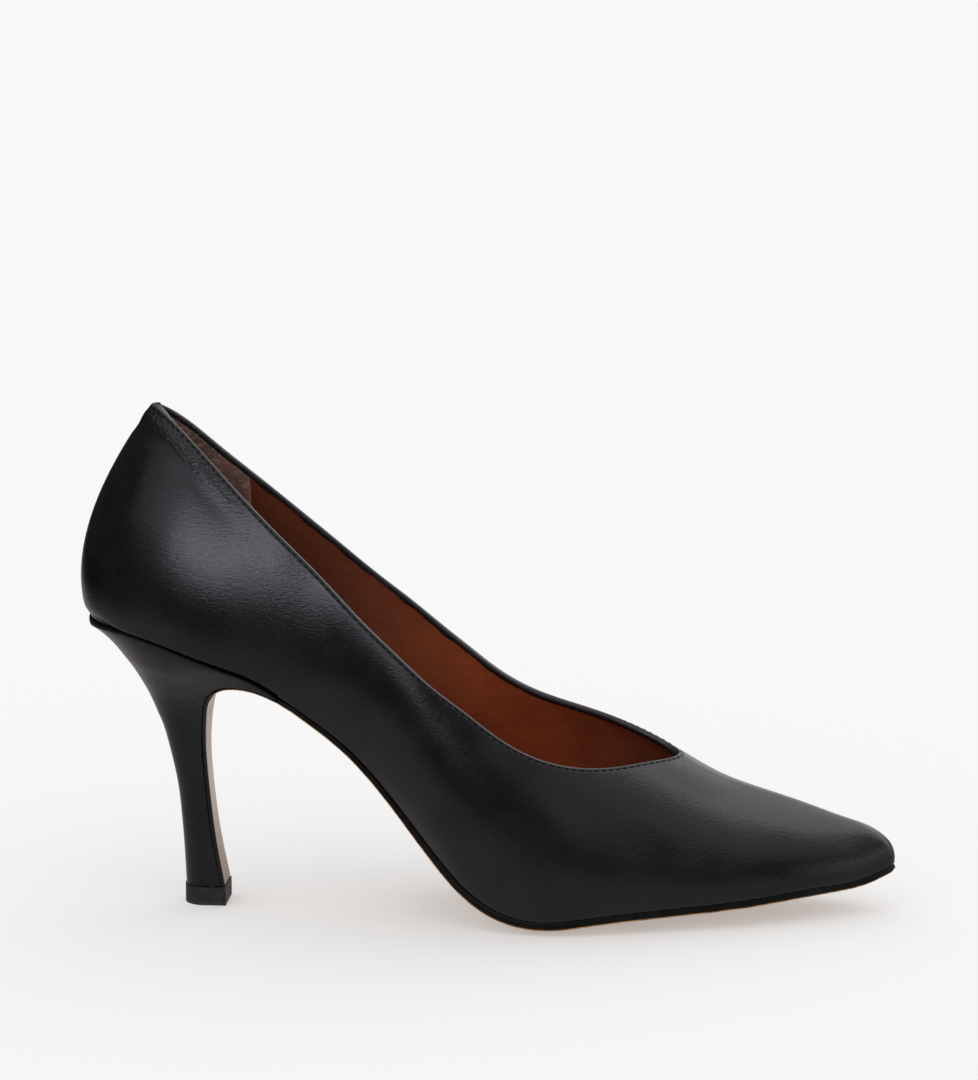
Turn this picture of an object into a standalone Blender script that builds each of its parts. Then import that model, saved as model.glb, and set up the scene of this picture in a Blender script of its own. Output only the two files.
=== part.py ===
"""Right court shoe with a stiletto heel: hollow upper, insole, leather outsole, covered heel and top piece.

The tables hold millimetres on a sample last, which the driving dimensions grade to size, and the meshes
hold metres. x runs from the rear of the heel to the toe, y from the outer side to the inner side, and z up
from the floor.
"""

import math
from typing import Callable, NamedTuple, Sequence

import bmesh
import bpy
import numpy as np

# Driving dimensions, in millimetres
LENGTH = 250.0
BALL_WIDTH = 70.5
HEEL_HEIGHT = 90.3
INSTEP_HEIGHT = 45.5
WALL = 1.8
INSOLE_THICKNESS = 2.0
INSOLE_INSET = 2.4
SOLE_INSET = 0.4
FLAP_THICKNESS = 1.3
TIP_HEIGHT = 5.8
TIP_MARGIN = 0.3
TIP_REACH = 1.5
GAP = 0.3

# The sample last on which the tables were measured
SAMPLE_LENGTH = 250.0
SAMPLE_BALL_WIDTH = 70.5
SAMPLE_HEEL_HEIGHT = 90.3
SAMPLE_INSTEP_HEIGHT = 45.5

LONG = LENGTH / SAMPLE_LENGTH
WIDE = BALL_WIDTH / SAMPLE_BALL_WIDTH
LIFT = HEEL_HEIGHT / SAMPLE_HEEL_HEIGHT
TALL = INSTEP_HEIGHT / SAMPLE_INSTEP_HEIGHT
MM = 0.001
OBJECT_NAME = "stiletto_court_shoe"

# Mesh density
QUARTER_STATIONS = 38
VAMP_STATIONS = 18
WALL_ROWS = 9
ACROSS = 6
SIDE_POINTS = 9
FLAP_STATIONS = 36
HEEL_RINGS = 34
MERGE_DISTANCE = 1e-6
SHARP_ANGLE = math.radians(40)

# How the wall of the upper bends
LOW_HANDLE = 0.34
HIGH_HANDLE = 0.33
RIDGE_SLOPE = 0.36

# Rounding of the sole's edge and of the heel's rim
EDGE_SWELL = 0.25
CROWN_SHARE = 0.6
RIM_DROP = 1.0
RIM_SHOULDER = 0.65
RIM_TAPER = 0.8
RIM_PROUD = 0.4
RIM_INSET = 1.3
ROUND_SHARE = 0.55

OUTER, INNER = -1, 1


class Section(NamedTuple):
    """One cross-section of the last at the sole seam."""

    x: float
    seam: float
    mid: float
    outer: float
    inner: float
    flare: float
    camber: float
    sole: float


class Crown(NamedTuple):
    """Where the wall of one section meets the top of the last, and how high the topline cuts it."""

    station: float
    x: float
    half: float
    rise: float
    lean: float
    outer_cut: float
    inner_cut: float


class Breast(NamedTuple):
    """One point of the sole's lower face, where it leaves the last and turns down the breast of the heel."""

    x: float
    z: float
    half: float


class Level(NamedTuple):
    """One level of the heel: its rear, where on the breast it ends, half width, likeness to the seat."""

    x: float
    z: float
    breast: float
    half: float
    seat: float


SECTIONS = (
    Section(x=1.5, seam=90.3, mid=0.0, outer=0.0, inner=0.0, flare=18, camber=0.0, sole=1.4),
    Section(x=14, seam=89.4, mid=0.0, outer=20.3, inner=20.0, flare=20, camber=0.0, sole=1.4),
    Section(x=28, seam=85.8, mid=0.0, outer=25.0, inner=24.5, flare=20, camber=0.0, sole=1.4),
    Section(x=42, seam=80.6, mid=0.0, outer=25.3, inner=24.6, flare=19, camber=0.0, sole=1.4),
    Section(x=56, seam=75.0, mid=0.0, outer=24.0, inner=22.3, flare=20, camber=0.0, sole=1.4),
    Section(x=70, seam=65.1, mid=0.0, outer=22.5, inner=19.4, flare=24, camber=0.0, sole=1.4),
    Section(x=84, seam=53.7, mid=0.0, outer=21.5, inner=17.6, flare=28, camber=0.0, sole=1.5),
    Section(x=98, seam=37.9, mid=0.0, outer=22.5, inner=18.5, flare=29, camber=0.0, sole=1.6),
    Section(x=110, seam=23.0, mid=0.0, outer=25.5, inner=22.6, flare=26, camber=0.2, sole=1.8),
    Section(x=120, seam=12.7, mid=0.0, outer=29.0, inner=27.6, flare=23, camber=0.6, sole=2.0),
    Section(x=130, seam=6.8, mid=0.0, outer=31.8, inner=32.4, flare=20, camber=1.0, sole=2.2),
    Section(x=142, seam=4.5, mid=0.1, outer=33.9, inner=36.2, flare=18, camber=1.6, sole=2.3),
    Section(x=158, seam=5.8, mid=0.4, outer=33.2, inner=36.6, flare=17, camber=1.6, sole=2.3),
    Section(x=180, seam=7.4, mid=1.2, outer=28.7, inner=31.4, flare=16, camber=1.2, sole=2.2),
    Section(x=205, seam=8.9, mid=2.6, outer=23.0, inner=22.6, flare=16, camber=0.9, sole=2.1),
    Section(x=228, seam=10.8, mid=4.0, outer=14.4, inner=13.0, flare=14, camber=0.5, sole=2.1),
    Section(x=240, seam=11.7, mid=4.7, outer=8.2, inner=7.4, flare=14, camber=0.3, sole=1.95),
    Section(x=250, seam=14.8, mid=5.2, outer=0.0, inner=0.0, flare=7, camber=0.2, sole=1.75),
)

CROWNS = (
    Crown(station=1.5, x=22.2, half=0.0, rise=66.1, lean=36, outer_cut=66.1, inner_cut=66.1),
    Crown(station=14, x=30.0, half=6.5, rise=64.0, lean=34, outer_cut=62.7, inner_cut=62.8),
    Crown(station=28, x=40.2, half=12.6, rise=58.4, lean=29, outer_cut=57.1, inner_cut=56.6),
    Crown(station=42, x=51.0, half=17.6, rise=52.6, lean=23, outer_cut=51.5, inner_cut=51.8),
    Crown(station=56, x=63.0, half=21.2, rise=47.8, lean=18, outer_cut=45.6, inner_cut=46.7),
    Crown(station=70, x=75.0, half=22.3, rise=49.2, lean=17, outer_cut=44.0, inner_cut=46.3),
    Crown(station=84, x=87.5, half=23.4, rise=53.8, lean=20, outer_cut=42.9, inner_cut=46.8),
    Crown(station=98, x=100.5, half=23.4, rise=61.1, lean=28, outer_cut=47.4, inner_cut=52.9),
    Crown(station=110, x=112.0, half=22.0, rise=67.6, lean=40, outer_cut=53.3, inner_cut=59.5),
    Crown(station=120, x=121.5, half=18.8, rise=71.8, lean=52, outer_cut=56.9, inner_cut=63.4),
    Crown(station=130, x=131.5, half=13.4, rise=72.6, lean=65, outer_cut=55.0, inner_cut=62.5),
    Crown(station=142, x=144.0, half=6.6, rise=67.8, lean=79, outer_cut=49.4, inner_cut=58.3),
    Crown(station=158, x=161.0, half=1.6, rise=56.6, lean=87, outer_cut=44.2, inner_cut=52.4),
    Crown(station=170, x=173.0, half=0.0, rise=49.0, lean=90, outer_cut=43.3, inner_cut=47.4),
    Crown(station=180, x=183.7, half=0.0, rise=42.2, lean=90, outer_cut=42.2, inner_cut=42.2),
    Crown(station=192, x=194.6, half=0.0, rise=35.4, lean=90, outer_cut=35.4, inner_cut=35.4),
    Crown(station=205, x=205.0, half=0.0, rise=30.4, lean=90, outer_cut=30.4, inner_cut=30.4),
    Crown(station=228, x=222.5, half=0.0, rise=22.6, lean=90, outer_cut=22.6, inner_cut=22.6),
    Crown(station=240, x=231.5, half=0.0, rise=18.3, lean=90, outer_cut=18.3, inner_cut=18.3),
    Crown(station=250, x=238.2, half=0.0, rise=12.9, lean=90, outer_cut=12.9, inner_cut=12.9),
)
THROAT_STATION = 180.0
RIDGE_STATION = 170.0

BREAST = (
    Breast(x=62.0, z=67.8, half=20.4),
    Breast(x=55.0, z=70.5, half=19.6),
    Breast(x=48.2, z=71.2, half=18.2),
    Breast(x=43.2, z=69.6, half=15.3),
    Breast(x=40.1, z=65.8, half=11.3),
    Breast(x=38.7, z=60.5, half=8.1),
    Breast(x=38.1, z=51.0, half=5.8),
    Breast(x=38.6, z=40.5, half=5.0),
    Breast(x=39.6, z=30.0, half=5.0),
    Breast(x=41.0, z=19.5, half=5.4),
    Breast(x=42.9, z=9.0, half=5.9),
    Breast(x=43.5, z=6.1, half=6.1),
)
FLAP_END = 10.7
SOLE_LEAVES_LAST = 68.0
TIP_TURN = 0.975

LEVELS = (
    Level(x=2.1, z=88.9, breast=0.05, half=21.0, seat=1.0),
    Level(x=6.2, z=85.8, breast=0.8, half=22.0, seat=0.85),
    Level(x=9.8, z=82.3, breast=1.6, half=20.3, seat=0.6),
    Level(x=12.8, z=78.5, breast=2.4, half=18.2, seat=0.35),
    Level(x=15.4, z=74.8, breast=3.2, half=15.4, seat=0.15),
    Level(x=19.6, z=67.2, breast=4.2, half=11.4, seat=0.0),
    Level(x=22.2, z=61.0, breast=5.0, half=8.7, seat=0.0),
    Level(x=24.2, z=55.9, breast=5.5, half=7.4, seat=0.0),
    Level(x=26.2, z=48.3, breast=6.3, half=6.1, seat=0.0),
    Level(x=28.3, z=38.1, breast=7.3, half=5.5, seat=0.0),
    Level(x=29.4, z=27.9, breast=8.25, half=5.5, seat=0.0),
    Level(x=30.1, z=17.7, breast=9.2, half=5.9, seat=0.0),
    Level(x=30.6, z=6.1, breast=11.0, half=6.5, seat=0.0),
)


def column(table: Sequence[NamedTuple], name: str) -> np.ndarray:
    """Return one named column of a table."""
    return np.array([getattr(row, name) for row in table], float)


def spline(knots: np.ndarray, values: np.ndarray) -> Callable[[np.ndarray], np.ndarray]:
    """Return the natural cubic spline through the given values."""
    step = np.diff(knots)
    slope = np.diff(values) / step
    system = np.eye(len(knots))
    right = np.zeros(len(knots))
    for i in range(1, len(knots) - 1):
        system[i, i - 1 : i + 2] = step[i - 1], 2 * (step[i - 1] + step[i]), step[i]
        right[i] = 6 * (slope[i] - slope[i - 1])
    bend = np.linalg.solve(system, right)

    def value(at: np.ndarray) -> np.ndarray:
        i = np.clip(np.searchsorted(knots, at) - 1, 0, len(step) - 1)
        ahead, behind = knots[i + 1] - at, at - knots[i]
        cubic = (bend[i] * ahead**3 + bend[i + 1] * behind**3) / (6 * step[i])
        linear = (values[i] / step[i] - bend[i] * step[i] / 6) * ahead
        return cubic + linear + (values[i + 1] / step[i] - bend[i + 1] * step[i] / 6) * behind

    return value


class Last:
    """The smooth form of the last, graded from the sample tables."""

    def __init__(self) -> None:
        x = column(SECTIONS, "x") * LONG
        self.rear, self.toe = x[0], x[-1]
        turn = self.turn(x)
        self.seam = spline(x, column(SECTIONS, "seam") * LIFT)
        self.mid = spline(x, column(SECTIONS, "mid") * WIDE)
        self.flare = spline(x, np.radians(column(SECTIONS, "flare")))
        self.camber = spline(x, column(SECTIONS, "camber"))
        self.sole = spline(x, column(SECTIONS, "sole"))
        self.half = {
            OUTER: spline(turn, column(SECTIONS, "outer") * WIDE),
            INNER: spline(turn, column(SECTIONS, "inner") * WIDE),
        }
        station = column(CROWNS, "station") * LONG
        self.crown_x = spline(station, column(CROWNS, "x") * LONG)
        self.open_half = spline(self.turn(station), column(CROWNS, "half") * WIDE)
        self.rise = spline(station, column(CROWNS, "rise") * TALL)
        self.lean = spline(station, np.radians(column(CROWNS, "lean")))
        self.throat = self.turn(THROAT_STATION * LONG)
        self.ridge_start = self.turn(RIDGE_STATION * LONG)
        cut_rows = station <= THROAT_STATION * LONG
        self.cut = {
            OUTER: spline(station[cut_rows], column(CROWNS, "outer_cut")[cut_rows] * TALL),
            INNER: spline(station[cut_rows], column(CROWNS, "inner_cut")[cut_rows] * TALL),
        }

    def turn(self, x: np.ndarray) -> np.ndarray:
        """Return the station of x as a share of a half turn, which rounds both ends of the outline."""
        return np.arccos(np.clip(1 - 2 * (x - self.rear) / (self.toe - self.rear), -1, 1)) / math.pi

    def station(self, turn: np.ndarray) -> np.ndarray:
        """Return x at a station given as a share of a half turn."""
        return self.rear + (self.toe - self.rear) * (1 - np.cos(math.pi * turn)) / 2

    def crown_half(self, turn: float) -> float:
        """Return half the way between a section's two crowns, which meet along the ridge of the vamp."""
        return max(float(self.open_half(turn)), 0.0) if turn < self.ridge_start else 0.0

    def outline(self, turn: float, side: int, inset: float = 0.0) -> np.ndarray:
        """Return the seam line's point in plan, moved inwards by inset."""
        x = self.station(turn)
        point = np.array([x, self.mid(x) + side * self.half[side](turn)])
        return point - inset * self.outward(turn, side)

    def outward(self, turn: float, side: int, step: float = 1e-3) -> np.ndarray:
        """Return the outline's outward normal in plan."""
        turns = np.array([turn - step, turn + step])
        x = self.station(turns)
        run, climb = np.diff([x, self.mid(x) + side * self.half[side](turns)]).ravel()
        return side * np.array([-climb, run]) / math.hypot(run, climb)

    def bed(self, x: np.ndarray, y: np.ndarray) -> np.ndarray:
        """Return the height of the foot bed, which dips between its edges by the camber."""
        turn = self.turn(x)
        offset = y - self.mid(x)
        half = np.where(offset < 0, self.half[OUTER](turn), self.half[INNER](turn))
        share = np.clip(np.abs(offset) / np.maximum(half, GAP), 0, 1)
        return self.seam(x) - self.camber(x) * (1 - share**2)

    def wall(self, turn: float, side: int, share: np.ndarray) -> np.ndarray:
        """Return points of one section's wall, from the seam at share 0 to the crown at share 1."""
        x = self.station(turn)
        out = self.outward(turn, side)
        foot = np.append(self.outline(turn, side), self.seam(x))
        top_x = self.crown_x(x)
        top_y = self.mid(top_x) + side * self.crown_half(turn)
        crown = np.array([top_x, top_y, self.seam(x) + self.rise(x)])
        reach = np.linalg.norm(crown - foot)
        flare, lean = self.flare(x), self.lean(x)
        leaning = np.append(math.sin(flare) * out, math.cos(flare))
        level = np.append(out, -RIDGE_SLOPE * max(out[0], 0.0))
        arching = math.sin(lean) * level - np.array([0, 0, math.cos(lean)])
        low = foot + LOW_HANDLE * reach * leaning
        high = crown + HIGH_HANDLE * reach * arching
        s = np.asarray(share)[:, None]
        return (1 - s) ** 3 * foot + 3 * s * (1 - s) ** 2 * low + 3 * s**2 * (1 - s) * high + s**3 * crown

    def topline(self, turn: float, side: int, samples: int = 200) -> float:
        """Return how far up its wall the topline cuts a section."""
        if turn >= self.throat:
            return 1.0
        share = np.linspace(0, 1, samples)
        x = self.station(turn)
        return float(np.interp(self.seam(x) + self.cut[side](x), self.wall(turn, side, share)[:, 2], share))


class BreastLine:
    """The sole's lower face in side view, from the arch round the fillet and down the breast of the heel."""

    def __init__(self) -> None:
        rows = np.arange(len(BREAST), dtype=float)
        self.x = spline(rows, column(BREAST, "x") * LONG)
        self.z = spline(rows, column(BREAST, "z") * LIFT)
        self.half = spline(rows, column(BREAST, "half") * WIDE)

    def point(self, row: float, inset: float, step: float = 1e-3) -> np.ndarray:
        """Return x and z at a row, moved by inset from the lower face into the heel."""
        along = np.array([self.x(row + step) - self.x(row - step), self.z(row + step) - self.z(row - step)])
        along /= np.linalg.norm(along)
        face = np.array([-along[1], along[0]])
        return np.array([self.x(row), self.z(row)]) - inset * face


def new_object(name: str, mesh: bpy.types.Mesh, material: bpy.types.Material) -> bpy.types.Object:
    """Return an object for a mesh, with its material, linked to the part's collection and parent."""
    mesh.materials.append(material)
    obj = bpy.data.objects.new(name, mesh)
    bpy.data.collections[OBJECT_NAME].objects.link(obj)
    obj.parent = bpy.data.objects[OBJECT_NAME + "_origin"]
    return obj


def sheet(name: str, points: np.ndarray) -> bpy.types.Mesh:
    """Return a grid bent to the given rows of points, with points that coincide merged."""
    rows, columns = points.shape[:2]
    bm = bmesh.new()
    bmesh.ops.create_grid(bm, x_segments=columns - 1, y_segments=rows - 1)
    for vert, point in zip(bm.verts, points.reshape(-1, 3)):
        vert.co = point * MM
    bmesh.ops.remove_doubles(bm, verts=bm.verts, dist=MERGE_DISTANCE)
    return finished(name, bm)


def loft(name: str, rings: Sequence[np.ndarray]) -> bpy.types.Mesh:
    """Return a closed loft through rings of equal count, capped by strips between each ring's two halves."""
    bm = bmesh.new()
    verts = [[bm.verts.new(point * MM) for point in ring] for ring in rings]
    count = len(rings[0])
    for lower, upper in zip(verts, verts[1:]):
        for i in range(count):
            j = (i + 1) % count
            bm.faces.new((lower[i], lower[j], upper[j], upper[i]))
    for ring in (verts[0], verts[-1]):
        for i in range(count // 2):
            corners = dict.fromkeys((ring[i], ring[i + 1], ring[-i - 1], ring[(count - i) % count]))
            bm.faces.new(list(corners))
    bmesh.ops.remove_doubles(bm, verts=bm.verts, dist=MERGE_DISTANCE)
    bmesh.ops.dissolve_degenerate(bm, dist=MERGE_DISTANCE, edges=bm.edges)
    bmesh.ops.recalc_face_normals(bm, faces=bm.faces)
    return finished(name, bm)


def finished(name: str, bm: bmesh.types.BMesh) -> bpy.types.Mesh:
    """Return a smooth-shaded mesh with its hard edges kept."""
    mesh = bpy.data.meshes.new(name)
    bm.to_mesh(mesh)
    bm.free()
    mesh.shade_smooth()
    mesh.set_sharp_from_angle(angle=SHARP_ANGLE)
    return mesh


def material(name: str, colour: Sequence[float], roughness: float) -> bpy.types.Material:
    """Return a plain Principled material."""
    made = bpy.data.materials.new(name)
    made.use_nodes = True
    shader = made.node_tree.nodes["Principled BSDF"]
    shader.inputs["Base Color"].default_value = (*colour, 1.0)
    shader.inputs["Roughness"].default_value = roughness
    shader.inputs["Metallic"].default_value = 0.0
    made.diffuse_color = (*colour, 1.0)
    return made


def solidify(obj: bpy.types.Object, thickness: float, offset: int) -> None:
    """Give an open sheet its thickness, to the side that offset names."""
    shell = obj.modifiers.new("wall", "SOLIDIFY")
    shell.thickness = thickness * MM
    shell.offset = offset
    shell.use_even_offset = True
    shell.use_quality_normals = True


def build_upper(last: Last) -> bpy.types.Object:
    """Build the hollow wall of the upper, cut at the topline and joined over the vamp."""
    quarter = np.linspace(0, last.throat, QUARTER_STATIONS + 1)
    vamp = np.linspace(last.throat, 1, VAMP_STATIONS + 1)[1:]
    turns = np.concatenate([quarter, vamp])
    rows = np.linspace(0, 1, WALL_ROWS + 1)

    def walls(side: int) -> list[np.ndarray]:
        return [last.wall(t, side, rows * last.topline(t, side)) for t in turns]

    columns = walls(INNER)[::-1] + walls(OUTER)[1:]
    mesh = sheet("upper", np.stack(columns, axis=1))
    obj = new_object("upper", mesh, material("black_calf", (0.012, 0.012, 0.013), 0.42))
    solidify(obj, WALL, -1)
    return obj


def bed_strip(last: Last, turn: float, inset: float) -> tuple[np.ndarray, float]:
    """Return points across the foot bed at one station, and the bed's climb towards the toe there."""
    edge = [last.outline(turn, side, inset) for side in (OUTER, INNER)]
    across = np.linspace(edge[0], edge[1], ACROSS + 1)
    x = last.station(turn)
    climb = (last.seam(x + 1) - last.seam(x - 1)) / 2
    return np.column_stack([across, last.bed(across[:, 0], across[:, 1])]), float(climb)


def strip_ring(face: np.ndarray, away: np.ndarray, thickness: np.ndarray) -> np.ndarray:
    """Return one closed section of a strip from points across one face and the way to the other face."""
    other = face + thickness[:, None] * away
    other[:, 2] = np.maximum(other[:, 2], 0.0)
    sideways = np.array([0.0, EDGE_SWELL, 0.0])
    first = (face[0] + other[0]) / 2 - sideways
    final = (face[-1] + other[-1]) / 2 + sideways
    return np.vstack([first, face, final, other[::-1]])


def build_insole(last: Last) -> bpy.types.Object:
    """Build the insole that closes the upper from inside, over the sole and the heel seat."""
    rings = []
    for turn in np.linspace(1 - TIP_TURN, TIP_TURN, QUARTER_STATIONS + VAMP_STATIONS):
        lower_face, climb = bed_strip(last, turn, INSOLE_INSET)
        raised = np.array([-climb, 0.0, 1.0]) / math.hypot(climb, 1.0)
        rings.append(strip_ring(lower_face, raised, np.full(ACROSS + 1, INSOLE_THICKNESS)))
    return new_object("insole", loft("insole", rings), material("tan_sock", (0.11, 0.032, 0.014), 0.5))


def build_outsole(last: Last, breast: BreastLine) -> bpy.types.Object:
    """Build the sole along the foot bed, then round the fillet and down the breast of the heel."""
    rings = []
    camber = 1 - np.linspace(-1, 1, ACROSS + 1) ** 2
    for turn in np.linspace(TIP_TURN, last.turn(SOLE_LEAVES_LAST * LONG), QUARTER_STATIONS + VAMP_STATIONS):
        upper_face, climb = bed_strip(last, turn, SOLE_INSET)
        below = np.array([climb, 0.0, -1.0]) / math.hypot(climb, 1.0)
        upper_face += GAP * below
        x = last.station(turn)
        rings.append(strip_ring(upper_face, below, last.sole(x) + CROWN_SHARE * last.camber(x) * camber))
    for row in np.linspace(0, FLAP_END, FLAP_STATIONS):
        near, far = breast.point(row, FLAP_THICKNESS), breast.point(row, 0.0)
        across = np.linspace(-breast.half(row), breast.half(row), ACROSS + 1)
        upper_face = np.column_stack([np.full_like(across, near[0]), across, np.full_like(across, near[1])])
        away = np.array([far[0] - near[0], 0.0, far[1] - near[1]]) / FLAP_THICKNESS
        rings.append(strip_ring(upper_face, away, np.full_like(across, FLAP_THICKNESS)))
    return new_object("outsole", loft("outsole", rings), material("sole_leather", (0.42, 0.27, 0.17), 0.55))


class HeelForm:
    """The covered heel as a stack of sections, smoothly interpolated between the tabled levels."""

    def __init__(self, last: Last, breast: BreastLine) -> None:
        self.last, self.breast = last, breast
        rows = np.arange(len(LEVELS), dtype=float)
        self.bottom = rows[-1]
        self.x = spline(rows, column(LEVELS, "x") * LONG)
        self.z = spline(rows, column(LEVELS, "z") * LIFT)
        self.reach = spline(rows, column(LEVELS, "breast"))
        self.half = spline(rows, column(LEVELS, "half") * WIDE)
        self.seat = spline(rows, column(LEVELS, "seat"))

    def front(self, row: float) -> np.ndarray:
        """Return x and z of the breast at one level."""
        return self.breast.point(self.reach(row), FLAP_THICKNESS + GAP)

    def ring(self, row: float, swell: float = 0.0, lift: float = 0.0) -> np.ndarray:
        """Return one closed section, from the rear round the outer side to the breast and back."""
        round_part = ROUND_SHARE * (1 - np.cos(np.linspace(0, math.pi / 2, SIDE_POINTS)))
        share = np.concatenate([round_part, np.linspace(ROUND_SHARE, 1, SIDE_POINTS // 2 + 1)[1:]])
        fullness = np.sqrt(1 - (1 - np.minimum(share / ROUND_SHARE, 1)) ** 2)
        rear_x, rear_z, (front_x, front_z) = self.x(row), self.z(row), self.front(row)
        seat_x = self.last.rear + share * (self.front(0.0)[0] - self.last.rear)
        seat_z = self.last.seam(seat_x)
        bow = seat_z - (seat_z[0] + share * (seat_z[-1] - seat_z[0]))
        likeness = float(np.clip(self.seat(row), 0, 1))
        x = rear_x + share * (front_x - rear_x) - swell * np.maximum(1 - share / ROUND_SHARE, 0.0)
        z = rear_z + share * (front_z - rear_z) + likeness * bow + lift * (1 - RIM_TAPER * share)
        sides = {}
        for side in (OUTER, INNER):
            plain = self.half(row) * fullness
            half = plain + likeness * (self.last.half[side](self.last.turn(seat_x)) - plain)
            sides[side] = np.column_stack([x, side * np.maximum(half + swell * fullness, 0.0), z])
        middle = (sides[OUTER][-1] + sides[INNER][-1]) / 2
        return np.vstack([sides[OUTER], middle, sides[INNER][:0:-1]])


def build_heel(form: HeelForm) -> bpy.types.Object:
    """Build the covered heel, with a rounded rim under the upper and a flat foot for the top piece."""
    rings = [
        form.ring(0.0, -RIM_INSET, RIM_DROP),
        form.ring(0.0, 0.0, RIM_SHOULDER),
        form.ring(0.0, RIM_PROUD, 0.0),
    ]
    rings += [form.ring(row) for row in np.linspace(0, form.bottom, HEEL_RINGS)[1:]]
    rings[-1][:, 2] = TIP_HEIGHT + GAP
    return new_object("heel", loft("heel", rings), material("covered_heel", (0.014, 0.014, 0.014), 0.38))


def build_heel_tip(form: HeelForm) -> bpy.types.Object:
    """Build the rubber top piece, a flat-fronted block a little wider than the foot of the heel."""
    foot = form.ring(form.bottom, TIP_MARGIN)
    foot[:, 0] = np.where(foot[:, 0] > foot[:, 0].max() - MM, foot[:, 0] + TIP_REACH, foot[:, 0])
    rings = []
    for height in (TIP_HEIGHT, 0.0):
        ring = foot.copy()
        ring[:, 2] = height
        rings.append(ring)
    rubber = material("black_rubber", (0.016, 0.016, 0.015), 0.6)
    return new_object("heel_tip", loft("heel_tip", rings), rubber)


def clear_scene() -> None:
    """Remove every object, then add the part's collection and the empty that carries its pieces."""
    for obj in list(bpy.data.objects):
        bpy.data.objects.remove(obj, do_unlink=True)
    collection = bpy.data.collections.new(OBJECT_NAME)
    bpy.context.scene.collection.children.link(collection)
    collection.objects.link(bpy.data.objects.new(OBJECT_NAME + "_origin", None))


def centre_on_floor(pieces: Sequence[bpy.types.Object]) -> None:
    """Move the carrying empty so that the middle of the shoe's footprint is the origin."""
    points = np.array([vert.co for piece in pieces for vert in piece.data.vertices])
    low, high = points.min(axis=0), points.max(axis=0)
    middle = (low + high) / 2
    bpy.data.objects[OBJECT_NAME + "_origin"].location = (-middle[0], -middle[1], -low[2])


def main() -> None:
    """Build the shoe."""
    clear_scene()
    last, breast = Last(), BreastLine()
    heel = HeelForm(last, breast)
    pieces = [
        build_upper(last),
        build_insole(last),
        build_outsole(last, breast),
        build_heel(heel),
        build_heel_tip(heel),
    ]
    centre_on_floor(pieces)


main()
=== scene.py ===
"""Looks of a right court shoe with a stiletto heel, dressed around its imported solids.

Tables and fields hold millimetres on the last: x runs from the rear of the heel to the toe, y from the outer
side to the inner side, and z up from the floor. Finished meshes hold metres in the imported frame.
"""

import logging
import math
from dataclasses import dataclass, field
from enum import Enum, IntEnum
from typing import Any, Callable, NamedTuple, Sequence

import bmesh
import bpy
import numpy as np
from mathutils import Euler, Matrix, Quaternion, Vector
from mathutils.kdtree import KDTree


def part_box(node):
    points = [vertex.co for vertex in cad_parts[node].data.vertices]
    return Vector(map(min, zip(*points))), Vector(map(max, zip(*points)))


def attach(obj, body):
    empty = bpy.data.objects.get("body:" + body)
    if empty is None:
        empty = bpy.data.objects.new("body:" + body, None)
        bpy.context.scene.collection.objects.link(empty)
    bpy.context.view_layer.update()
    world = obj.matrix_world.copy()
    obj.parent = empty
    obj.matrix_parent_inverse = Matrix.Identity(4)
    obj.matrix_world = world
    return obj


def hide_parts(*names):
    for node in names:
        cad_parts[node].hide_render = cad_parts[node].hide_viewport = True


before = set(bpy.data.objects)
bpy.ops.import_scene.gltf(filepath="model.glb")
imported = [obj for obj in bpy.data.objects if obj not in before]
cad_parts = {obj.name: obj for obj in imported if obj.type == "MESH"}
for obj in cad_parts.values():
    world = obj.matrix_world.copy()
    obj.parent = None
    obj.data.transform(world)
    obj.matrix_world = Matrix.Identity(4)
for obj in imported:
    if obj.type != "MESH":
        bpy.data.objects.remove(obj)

LOG = logging.getLogger("court_shoe")
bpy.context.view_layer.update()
MM = 0.001
BODY = "root"
EDGE_MARK = "edge_distance"
Spline = Callable[[np.ndarray], np.ndarray]
Triple = tuple[float, float, float]
Span = tuple[float, float]
Settings = dict[str, Any] | None
Sockets = dict[Any, Any] | None


class Side(IntEnum):
    """The two sides of the shoe, with the sign of their y."""

    OUTER = -1
    INNER = 1


class Slot(str, Enum):
    """The record's material slots."""

    CALF = "black_calf"
    SOCK = "tan_sock"
    SOLE = "sole_leather"
    HEEL = "covered_heel"
    RUBBER = "black_rubber"


class Axis(str, Enum):
    """The directions of a piece's own coordinates."""

    X = "X"
    Y = "Y"
    Z = "Z"


class Section(NamedTuple):
    """One cross-section of the last at the sole seam."""

    x: float
    seam: float
    mid: float
    outer: float
    inner: float
    flare: float
    camber: float
    sole: float


class Crown(NamedTuple):
    """Where the wall of one section meets the top of the last, and how high the topline cuts it."""

    station: float
    x: float
    half: float
    rise: float
    lean: float
    outer_cut: float
    inner_cut: float


class Breast(NamedTuple):
    """One point of the sole's lower face, where it leaves the last and turns down the breast of the heel."""

    x: float
    z: float
    half: float


class Level(NamedTuple):
    """One level of the heel: its rear, where on the breast it ends, half width, likeness to the seat."""

    x: float
    z: float
    breast: float
    half: float
    seat: float


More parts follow.
